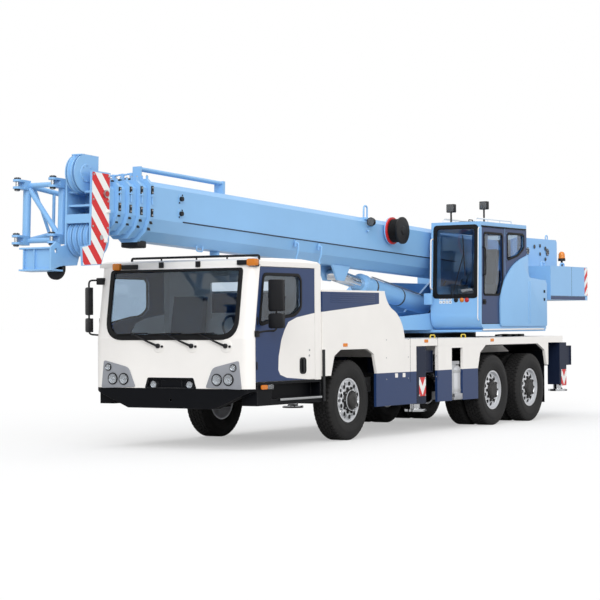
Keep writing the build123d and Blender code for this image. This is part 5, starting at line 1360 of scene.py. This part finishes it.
for end, x, y, z in (("front", -2.50, 0.69, 3.285), ("rear", -3.40, 0.814, 3.37)):
    slab(lamps, (x - 0.045, y - 0.07, z), (x + 0.030, y + 0.07, z + 0.13), 0.012)
    bar(lamps, (x, y, 3.12), (x, y, z + 0.01), 0.014)
    lens = bmesh.new()
    slab(lens, (x + 0.028, y - 0.058, z + 0.012), (x + 0.034, y + 0.058, z + 0.118), 0.002)
    piece(f"roof_work_lens_{end}", lens, clear_lens, "upper")
bent_bar(rails, [(-2.40, 0.41, 1.90), (-2.32, 0.38, 1.90), (-2.26, 0.38, 1.92)], 0.010, 0.03)
slab(paint, (-2.30, 0.33, 1.86), (-2.25, 0.47, 2.04), 0.016)
around = [(-4.045, 1.54), (-3.255, 1.54), (-3.255, 2.545), (-3.72, 2.625), (-3.965, 2.75),
          (-4.045, 2.75)]
prism(slate, around, "y", OP_FACE - 0.001, OP_FACE + 0.002)
for x0, z0, x1, z1 in ((-4.045, 2.745, -3.965, 3.046), (-3.965, 2.990, -3.255, 3.046),
                       (-3.315, 2.54, -3.255, 2.995)):
    slab(slate, (x0, OP_FACE - 0.001, z0), (x1, OP_FACE + 0.002, z1))
for z in (1.93, 2.06):
    slab(black, (-4.69, OP_FACE + 0.010, z), (-4.64, OP_FACE + 0.034, z + 0.045), 0.006)
slab(rails, (-4.70, OP_FACE - 0.002, 1.462), (-2.45, OP_FACE + 0.004, 1.486), 0.002)
pieces("upper", opcab_seals=(black, seal_rubber), opcab_rails=(rails, white_enamel),
       opcab_roof_hatch=(roof, black_plastic), opcab_work_lamps=(lamps, black_plastic),
       opcab_mirror=(paint, blue_enamel), opcab_lower_panel=(slate, slate_enamel))
# %% [markdown]
# ## Operator's cab fairing
# A blue cover with a swept front edge closes the cab's flank. It is a single pushed outline whose corners
# are rounded one by one, since a curve fitted through them would bulge between its straight runs.

# %% Fairing
fairing = bmesh.new()
sweep = [(-3.04, 1.52), (-3.03, 1.93), (-3.10, 2.12), (-3.24, 2.285), (-3.39, 2.405), (-3.52, 2.486),
         (-3.76, 2.585),
         (-4.05, 2.655), (-4.065, 2.36), (-4.10, 2.30), (-4.70, 2.262), (-4.772, 2.22), (-4.775, 1.52)]
prism(fairing, rounded(sweep, [0.06] + [0.2] * 6 + [0.01, 0.03, 0.05, 0.04, 0.04, 0.04], 4), "y",
      OP_FACE - 0.001,
      OP_FACE + 0.026, 0.010)
for x in (-4.06, -4.12):
    slab(fairing, (x - 0.012, OP_FACE + 0.022, 1.56), (x + 0.012, OP_FACE + 0.034, 2.24), 0.005)
piece("opcab_fairing", fairing, blue_enamel, "upper", smooth=40)

# %% [markdown]
# ## Winches
# The drums carry steel rope. A real rope is a spiral, but from outside it reads as a row of wraps, so it
# is a turned shell whose outline is a row of small arcs, one for each wrap.

# %% Winch rope
DRUM_X, DRUM_Z = (-5.48, -6.28), 2.78
for number, x in enumerate(DRUM_X, 1):
    wraps = bmesh.new()
    turns, start, end, bed = 34, -0.428, 0.428, 0.1905
    pitch = (end - start) / turns
    outline = [(start, 0.150)]
    for turn in range(turns):
        for share, lift in ((0.02, 0.0), (0.25, 0.007), (0.5, 0.010), (0.75, 0.007)):
            outline.append((start + (turn + share) * pitch, bed + lift))
    outline += [(end, bed), (end, 0.150), (start, 0.150)]
    lathe(wraps, outline, (x, 0.0, DRUM_Z), "y", 40)
    piece(f"winch_rope_{number}", wraps, rope_steel, "upper", smooth=50)

# %% [markdown]
# ## Counterweight
# The counterweight is stacked plates, so it has seams, lifting eyes and a slate band. A striped board
# wraps its rear corners, red lamps face rearwards, and an amber beacon stands on top.

# %% Counterweight
WEIGHT_FACE = 1.2345
seams, eyes, band, lamps, beacon = meshes(5)
for mark in (1, -1):
    for x0, z0, x1, z1 in ((-5.86, 2.02, -5.854, 2.50), (-6.50, 2.012, -5.002, 2.017)):
        slab(seams, (x0, mark * (WEIGHT_FACE - 0.0055), z0), (x1, mark * (WEIGHT_FACE + 0.0017), z1))
for x in (-5.25, -6.05):
    for y in (0.98, -0.98):
        staple(eyes, (x - 0.07, y, 2.50), (x + 0.07, y, 2.50), (0, 0, 0.075), 0.014, 0.05)
for mark in (1, -1):
    slab(band, (-6.42, mark * (WEIGHT_FACE - 0.0045), 1.955),
         (-5.005, mark * (WEIGHT_FACE + 0.003), 2.010))
    slab(lamps, (-6.715, mark * 0.86 - 0.07, 2.03), (-6.709, mark * 0.86 + 0.07, 2.09), 0.002)
slab(band, (-6.7195, -1.00, 1.955), (-6.710, 1.00, 2.010))
BEACON = (-6.17, 0.92)
bar(beacon, (*BEACON, 2.505), (*BEACON, 2.63), 0.018)
bar(beacon, (*BEACON, 2.62), (*BEACON, 2.665), 0.062, 24)
dome = bmesh.new()
lathe(dome, [(0.0, 0.0), (0.0, 0.056), (0.07, 0.054), (0.10, 0.042), (0.115, 0.020), (0.118, 0.0)],
      (*BEACON, 2.664), "z", 24)
pieces("upper", weight_seams=(seams, seal_rubber), weight_eyes=(eyes, blue_enamel),
       weight_band=(band, slate_enamel), weight_lamps=(lamps, red_lens),
       beacon_base=(beacon, black_plastic), beacon_dome=(dome, amber_lens))
corner_board = warning_plate("Counterweight corner board", "XZ", 0.20, 1.0)
board = bmesh.new()
for mark in (1, -1):
    slab(board, (-6.52, mark * WEIGHT_FACE, 2.03), (-6.40, mark * (WEIGHT_FACE + 0.003), 2.50))
    prism(board, [(-6.52, mark * WEIGHT_FACE), (-6.62, mark * (WEIGHT_FACE - 0.1)),
                  (-6.622, mark * (WEIGHT_FACE - 0.098)), (-6.521, mark * (WEIGHT_FACE + 0.003))],
          "z", 2.03, 2.50)
piece("weight_boards", board, corner_board, "upper")

# %% [markdown]
# ## Winch house
# The side of the winch house has lightening holes, shown as grey discs of painted shade, pins with caps,
# and an eye for lifting the upper.

# %% Winch house
holes, pins, ring = meshes(3)
HOUSE_Y = 0.61
# Small discs in the lightening holes are painted shade; the two larger ones at the drums carry bolts.
for x, z, r in ((-5.75, 2.86, 0.035), (-5.98, 2.74, 0.030), (-5.98, 2.88, 0.030), (-6.20, 2.84, 0.035),
                (-6.20, 2.66, 0.030),
                *((drum, DRUM_Z, 0.060) for drum in DRUM_X)):
    for mark in (1, -1):
        bar(holes, (x, mark * (HOUSE_Y - 0.004), z), (x, mark * (HOUSE_Y + 0.002), z), r, 24)
for x in DRUM_X:
    for mark in (1, -1):
        bolts(pins, ring_of(6, x, mark * (HOUSE_Y + 0.002), 0.045, z=DRUM_Z), (0, mark, 0), 0.008, 0.008)
staple(ring, (-6.26, 0.58, 2.99), (-6.34, 0.58, 2.99), (0, 0, 0.08), 0.010, 0.035)
pieces("upper", winch_house_holes=(holes, cast_grey), winch_house_bolts=(pins, bright_zinc),
       upper_lifting_eye=(ring, blue_enamel))

# %% [markdown]
# ## Boom and jib
# Parts of the boom are laid out along it: x from the pivot pin, z square to it. `boom_piece` turns a
# shape from there into the crane's frame. Each collar gets wear pads, their bolts and the guides that
# run over it. One loop makes all four, since each collar is the one before, drawn in by a plate.

# %% Boom collars
ON_BOOM = Matrix.Translation(PIVOT) @ Matrix.Rotation(-BOOM_TILT, 4, "Y")


def boom_piece(name, shape, finish, body, smooth=35):
    bmesh.ops.transform(shape, matrix=ON_BOOM, verts=shape.verts)
    return piece(name, shape, finish, body, smooth)


def boom_pieces(body, **rows):
    for name, (shape, finish) in rows.items():
        boom_piece(name, shape, finish, body)


NOSES, STEP, COLLAR = (9.50, 9.68, 9.86, 10.04), 0.030, 0.060
for index, nose in enumerate(NOSES):
    pads, heads, guide = meshes(3)
    half, top = 0.300 - index * STEP + 0.022, 0.232 - index * STEP + 0.022
    middle = nose - COLLAR / 2
    for mark in (1, -1):
        for z in (0.10 - index * 0.02, -0.18 + index * 0.01):
            slab(pads, (middle - 0.022, mark * (half - 0.004), z - 0.05),
                 (middle + 0.022, mark * (half + 0.010), z + 0.05), 0.003)
            bolts(heads, [(middle, mark * (half + 0.010), z + dz) for dz in (-0.03, 0.03)],
                  (0, mark, 0), 0.008, 0.009)
        slab(pads, (middle - 0.02, mark * 0.10 - 0.03, top - 0.004),
             (middle + 0.02, mark * 0.10 + 0.03, top + 0.012),
             0.003)
        bolts(heads, [(middle, mark * y, top + 0.012) for y in (0.085, 0.115)], (0, 0, 1), 0.008, 0.009)
    lower = -0.247 + index * 0.017
    for mark in (1, -1):
        for share in (0.25, 0.75):
            y, z = half - 0.022 - share * 0.065 + 0.012, lower - share * 0.153
            place = Matrix.Translation((middle, mark * (y + 0.008), z))
            slab(pads, (-0.024, -0.006, -0.036), (0.024, 0.006, 0.036), 0.003,
                 place @ Matrix.Rotation(mark * 0.40, 4, "X"))
        for y in (mark * (0.16 - index * 0.02), mark * (0.24 - index * 0.02)):
            slab(guide, (middle - 0.012, y - 0.012, top - 0.05),
                 (middle + 0.012, y + 0.012, top + 0.028), 0.003)
            bolts(heads, [(middle, y, top + 0.028)], (0, 0, 1), 0.009, 0.012)
        slab(guide, (middle - 0.026, mark * (half - 0.004), 0.015),
             (middle + 0.026, mark * (half + 0.022), 0.035), 0.003)
        bar(guide, (middle, mark * (half + 0.012), -0.08), (middle, mark * (half + 0.012), 0.05), 0.009)
    slab(guide, (middle - 0.015, -0.02, top - 0.01), (middle + 0.015, 0.02, top + 0.075), 0.004)
    bar(guide, (middle, -0.06, top + 0.062), (middle, 0.06, top + 0.062), 0.012)
    body = f"boom_{index + 1}"
    boom_piece(f"collar_pads_{index + 1}", pads, black_plastic, body)
    boom_piece(f"collar_bolts_{index + 1}", heads, bright_zinc, body)
    boom_piece(f"rope_guide_{index + 1}", guide, blue_enamel, body)

# %% [markdown]
# ## Along the base section
# The base section carries a cable along its lower edge, brackets for the stowed jib, a work lamp on a
# stalk and, on its left, a reel of hose behind a black cover with a red ring.

# %% Cable, brackets and lamp
line, bracket, dark, lens = meshes(4)
bent_bar(line, [(8.77, 0.303, -0.238), (6.4, 0.303, -0.243), (3.1, 0.303, -0.243),
                (1.2, 0.303, -0.243)], 0.008)
staple(bracket, (8.10, 0.15, -0.49), (8.24, 0.15, -0.49), (0, 0, -0.07), 0.010, 0.03)
for z in (0.051, -0.136):
    slab(bracket, (8.79, 0.298, z - 0.055), (8.87, 0.306, z + 0.055), 0.004)
    bar(dark, (8.83, 0.304, z), (8.83, 0.338, z), 0.030, 20)
bolts(dark, [(8.80, 0.306, 0.10), (8.86, 0.306, 0.0), (8.80, 0.306, -0.09), (8.86, 0.306, -0.18)],
      (0, 1, 0), 0.008, 0.008)
for x in (6.04, 5.42):
    slab(bracket, (x - 0.030, 0.290, -0.36), (x + 0.030, 0.310, -0.26), 0.004)
    bent_bar(bracket, [(x, 0.302, -0.29), (x, 0.345, -0.31), (x, 0.335, -0.42), (x, 0.300, -0.52),
                       (x, 0.325, -0.55)],
             0.014, 0.04)
for x in (1.35, 7.60):
    slab(bracket, (x - 0.03, -0.06, -0.575), (x + 0.03, 0.06, -0.50), 0.006)
slab(dark, (9.30, -0.13, -0.60), (9.49, 0.13, -0.512), 0.020)
BOOM_LAMP, REEL = (4.074, 0.385, 0.153), (3.40, 0.0, 0.076)
staple(bracket, (3.96, 0.24, 0.215), (4.06, 0.24, 0.215), (0, 0, 0.185), 0.013, 0.05)
slab(bracket, (3.93, 0.20, 0.19), (4.09, 0.30, 0.225), 0.006)
bent_bar(bracket, [(4.03, 0.298, 0.09), (4.03, 0.385, 0.09), (4.03, 0.385, 0.14)], 0.011, 0.03)
bar(bracket, (4.03, 0.298, 0.02), (4.10, 0.345, 0.02), 0.013)
lathe(dark, [(-0.050, 0.0), (-0.050, 0.034), (-0.02, 0.060), (0.028, 0.066), (0.028, 0.0)], BOOM_LAMP,
      "x", 28)
lathe(lens, [(0.026, 0.0), (0.026, 0.057), (0.033, 0.052), (0.038, 0.0)], BOOM_LAMP, "x", 28)
boom_pieces("boom_1", boom_cable=(line, navy_enamel), boom_brackets=(bracket, blue_enamel),
            boom_black_parts=(dark, black_plastic), boom_lamp_lens=(lens, clear_lens))

# %% [markdown]
# ## Hose reel
# The reel pays out the hose that feeds the extending sections. Its winding is turned from small arcs, as
# the winch rope is. A black cover with a raised rim closes it, and a red ring edges the drum.

# %% Hose reel
winding, flange = meshes(2)
outline = [(0.377, 0.10)]
for turn in range(9):
    for share, lift in ((0.0, 0.0), (0.3, 0.008), (0.6, 0.008)):
        outline.append((0.377 + (turn + share) * 0.0157, 0.167 + lift))
outline += [(0.518, 0.167), (0.518, 0.10), (0.377, 0.10)]
lathe(winding, outline, REEL, "y", 40)
lathe(flange, washer(0.519, 0.5465, 0.17, 0.2015), REEL, "y", 40)
lathe(flange, [(0.5455, 0.0), (0.5455, 0.192), (0.5475, 0.194), (0.5495, 0.188), (0.548, 0.070),
               (0.565, 0.055), (0.570, 0.0)], REEL, "y", 40)
boom_piece("reel_hose", winding, seal_rubber, "boom_1", smooth=50)
boom_piece("reel_cover", flange, black_plastic, "boom_1")
ring = bmesh.new()
lathe(ring, washer(0.352, 0.376, 0.200, 0.2035), REEL, "y", 40)
lathe(ring, washer(0.3755, 0.377, 0.168, 0.20), REEL, "y", 40)
boom_piece("reel_ring", ring, red_enamel, "boom_1")

# %% [markdown]
# ## Boom head and jib root
# The rope runs over four sheaves low in the head and one on top. They are turned with a rope groove, a
# web and a hub, and the lower four stand in for the construction's plain discs.


# %% Boom head
def grooved(radius, half, bore=0.045):
    rim = radius - 0.030
    groove = [(0.0, rim - 0.003), (0.010, rim), (half * 0.78, radius), (half, radius)]
    side = [(half, radius - 0.045), (half * 0.45, radius - 0.060), (half * 0.40, 0.110), (half, 0.095),
            (half, bore)]
    loop = groove + side
    return loop + [(-a, r) for a, r in loop[::-1]] + [loop[0]]


PIN_X, PIN_Z, TOP_X, TOP_Z = 10.316, -0.545, 10.468, 0.216
wheels, hubs, top, cover = meshes(4)
for y in (-0.12, -0.04, 0.04, 0.12):
    lathe(wheels, [(y + a, r) for a, r in grooved(0.220, 0.030)], (PIN_X, 0.0, PIN_Z), "y", 48)
bar(hubs, (PIN_X, -0.172, PIN_Z), (PIN_X, 0.172, PIN_Z), 0.046, 24)
lathe(top, grooved(0.235, 0.038), (TOP_X, 0.0, TOP_Z), "y", 48)
bar(hubs, (TOP_X, -0.060, TOP_Z), (TOP_X, 0.060, TOP_Z), 0.046, 24)
lathe(hubs, [(-0.028, 0.027), (-0.028, 0.120), (-0.020, 0.130), (0.020, 0.130), (0.028, 0.120),
             (0.028, 0.027), (-0.028, 0.027)], (10.530, -0.306, -0.925), "x", 40)
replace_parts(boom_piece("head_sheaves_turned", wheels, blue_enamel, "boom_5"), "head_sheaves")
boom_piece("top_sheave_turned", top, blue_enamel, "boom_5")
boom_piece("head_hubs", hubs, black_plastic, "boom_5")
lathe(cover, [(0.072, 0.0), (0.072, 0.115), (0.080, 0.110), (0.080, 0.0)], (TOP_X, 0.0, TOP_Z), "y", 36)
bolts(cover, ring_of(8, TOP_X, 0.080, 0.095, z=TOP_Z), (0, 1, 0), 0.008, 0.008)
for x in (10.56, 10.38):
    bar(cover, (x, -0.075, 0.434), (x, 0.075, 0.434), 0.010)
boom_piece("top_sheave_cover", cover, blue_enamel, "boom_5")

# %% [markdown]
# ## Warning board on the head
# The left cheek carries a red and white board with its nuts, a red lamp and two pale fittings. The board
# follows the cheek's own outline, three millimetres thick, and its stripes are worked out in the shader.

# %% Head board and fittings
BOARD_FACE, LAMP_X, LAMP_Z = 0.1975, 10.245, -0.015
board, nuts, red_lamp, pale = meshes(4)
prism(board, [(10.166, 0.228), (10.166, -0.502), (10.246, -0.695), (10.306, -0.862), (10.652, -0.895),
              (10.674, -0.686), (10.508, -0.648), (10.508, 0.228)], "y", BOARD_FACE - 0.003, BOARD_FACE)
bolts(nuts, [(x, BOARD_FACE, z) for x in (10.19, 10.48) for z in (0.20, -0.10, -0.42)], (0, 1, 0),
      0.009, 0.008)
bar(nuts, (PIN_X, 0.195, PIN_Z), (PIN_X, 0.206, PIN_Z), 0.030, 28)
bar(nuts, (PIN_X, -0.195, PIN_Z), (PIN_X, -0.214, PIN_Z), 0.062, 28)
bar(red_lamp, (LAMP_X, 0.214, LAMP_Z), (LAMP_X, 0.226, LAMP_Z), 0.034, 24)
bar(nuts, (LAMP_X, 0.196, LAMP_Z), (LAMP_X, 0.220, LAMP_Z), 0.048, 24)
for x, z in ((10.20, -0.22), (10.24, -0.58)):
    slab(pale, (x - 0.025, 0.197, z - 0.02), (x + 0.025, 0.222, z + 0.02), 0.004)
head_board = warning_plate("Head warning board", "XZ", 0.30, -1.15)
boom_piece("head_warning_board", board, head_board, "boom_5")
boom_pieces("boom_5", head_nuts=(nuts, bright_zinc), head_red_lamp=(red_lamp, red_lens))
boom_piece("head_fittings", pale, white_enamel, "boom_5")

# %% [markdown]
# ## Jib pins
# Four upright pins join the folded jib to its root frame. Each has a wide cap above and a smaller one
# below, so one row of heights and radii describes all three bars of a pin.

# %% Jib pins
FORK_X = 10.510
pins, caps = meshes(2)
for y, z in ((-0.40, 0.125), (-0.95, 0.125), (-0.40, -0.555), (-0.95, -0.555)):
    for shape, low, high, radius, sides in ((pins, -0.085, 0.085, 0.0245, 20),
                                            (caps, 0.058, 0.078, 0.042, 24),
                                            (caps, -0.078, -0.058, 0.036, 24)):
        bar(shape, (FORK_X, y, z + low), (FORK_X, y, z + high), radius, sides)
boom_pieces("boom_1", jib_pins=(pins, bright_zinc), jib_pin_caps=(caps, cast_grey))

# %% [markdown]
# ## Walkways and hatches
# Seen from above, the crane shows walkways of raised-pattern plate and hatches over the engine. A hatch
# is shown by what a hand meets: a thin seam round it, two hinges and a latch.


# %% Walkways and hatches
def door_outline(seam, latch, low, high, lay, latch_at):
    """A thin seam round a door on a face, two hinges and a turned latch."""
    (a0, b0), (a1, b1) = low, high
    outline = [(a0, b0), (a1, b0), (a1, b1), (a0, b1)]
    surround(seam, rounded(outline, 0.03, 3), rounded(inset(outline, 0.006), 0.026, 3), lay, 0.002,
             0.002)
    for share in (0.2, 0.8):
        spot = (a0 + 0.012, b0 + (b1 - b0) * share)
        pane(latch, oval(*spot, 0.018, 0.09, 0.006), lay, -0.001, 0.012)
    pane(latch, oval(*latch_at, 0.05, 0.09, 0.02), lay, -0.001, 0.008)


def on_top(a, b, out=0.0):
    return a, b, HOUSING_TOP + out


walk, screws, seam, latch, grille = meshes(5)
for mark in (1, -1):
    for x0, x1 in ((-0.93, -0.06), (-1.86, -0.95), (-2.28, -1.88), (-4.95, -4.02)):
        y0, y1 = sorted((mark * 0.78, mark * 1.12))
        slab(walk, (x0, y0, DECK_TOP - 0.001), (x1, y1, DECK_TOP + 0.003), 0.0)
        bolts(screws, [(x, y, DECK_TOP + 0.003) for x in (x0 + 0.03, x1 - 0.03)
                       for y in (y0 + 0.03, y1 - 0.03)], (0, 0, 1), 0.007, 0.003)
for low, high in (((0.92, -1.06), (1.50, -0.06)), ((0.92, 0.06), (1.50, 1.06)),
                  ((1.58, -1.06), (2.24, 1.06))):
    door_outline(seam, latch, low, high, on_top, (high[0] - 0.07, (low[1] + high[1]) / 2))
for row in range(9):
    y = -0.40 + row * 0.10
    slab(grille, (1.68, y, HOUSING_TOP - 0.001), (2.14, y + 0.045, HOUSING_TOP + 0.004), 0.002)

# %% [markdown]
# ## Cabinet doors
# The hydraulic cabinet on the right has three doors. They reuse the seam, hinges and latch of the engine
# hatches, laid on the cabinet's side, and add five louvres each.

# %% Cabinet doors
CABINET_FACE = 1.195
side = on_side(-1, CABINET_FACE)
for low, high in (((-4.62, 1.56), (-3.98, 2.14)), ((-3.92, 1.56), (-3.28, 2.14)),
                  ((-3.22, 1.56), (-2.62, 2.06))):
    seam_upper, latch_upper = meshes(2)
    door_outline(seam_upper, latch_upper, low, high, side, (high[0] - 0.06, (low[1] + high[1]) / 2))
    number = str(int(-low[0] * 10))
    for row in range(5):
        slab(latch_upper, (low[0] + 0.12, -CABINET_FACE - 0.005, low[1] + 0.10 + row * 0.045),
             (high[0] - 0.14, -CABINET_FACE + 0.001, low[1] + 0.125 + row * 0.045), 0.002)
    piece(f"cabinet_seam_{number}", seam_upper, seal_rubber, "upper")
    piece(f"cabinet_latches_{number}", latch_upper, slate_enamel, "upper")
pieces("carrier", walkway_plates=(walk, tread_plate), walkway_screws=(screws, bright_zinc),
       hatch_seams=(seam, seal_rubber), hatch_latches=(latch, black_plastic),
       engine_grille=(grille, black_plastic))

# %% [markdown]
# ## Cylinder, hoses and the rear end
# The luffing cylinder has a screwed gland, clamps and an oil pipe along its barrel. Hoses leave the
# turntable for the boom's foot, and a blank number plate hangs between the rear lamps.

# %% Cylinder, hoses and rear end
ON_CYLINDER = Matrix.Translation(LUFF_FOOT) @ Matrix.Rotation(-LUFF_TILT, 4, "Y")
BARREL = (corners("luff_barrel")[1].x - LUFF_FOOT.x) / math.cos(LUFF_TILT)
BARREL_RADIUS, STRAP = 0.130, 0.012
clamps, pipe = meshes(2)
for share in (0.22, 0.55, 0.86):
    lathe(clamps, [(0.0, BARREL_RADIUS), (0.0, BARREL_RADIUS + STRAP), (0.04, BARREL_RADIUS + STRAP),
                   (0.04, BARREL_RADIUS)],
          (BARREL * share, 0.0, 0.0), "x", 36)
bent_bar(pipe, [(BARREL * share, *spot) for share, spot in (
    (0.12, (0.09, 0.09)), (0.12, (0.11, 0.128)), (0.93, (0.11, 0.128)),
    (0.93, (0.09, 0.09)))], 0.011, 0.05)
for shape in (clamps, pipe):
    bmesh.ops.transform(shape, matrix=ON_CYLINDER, verts=shape.verts)
pieces("luff_barrel", cylinder_clamps=(clamps, cast_grey), cylinder_pipe=(pipe, bright_zinc))
hoses, plate, frame_part = meshes(3)
for i, y in enumerate((-0.22, -0.14, 0.14, 0.22)):
    bent_bar(hoses, [(-3.75 - 0.05 * i, y, 1.98), (-3.78 - 0.05 * i, y, 2.20),
                     (-4.05, y, 2.36 + 0.02 * i), (-4.25, y, 2.30)], 0.014, 0.12)
slab(plate, (TAIL_X - 0.012, -0.26, 0.70), (TAIL_X - 0.006, 0.26, 0.80), 0.002)
slab(frame_part, (TAIL_X - 0.008, -0.275, 0.688), (TAIL_X, 0.275, 0.812), 0.003)
piece("boom_foot_hoses", hoses, seal_rubber, "upper")
pieces("carrier", number_plate_blank=(plate, white_enamel),
       number_plate_frame=(frame_part, black_plastic))
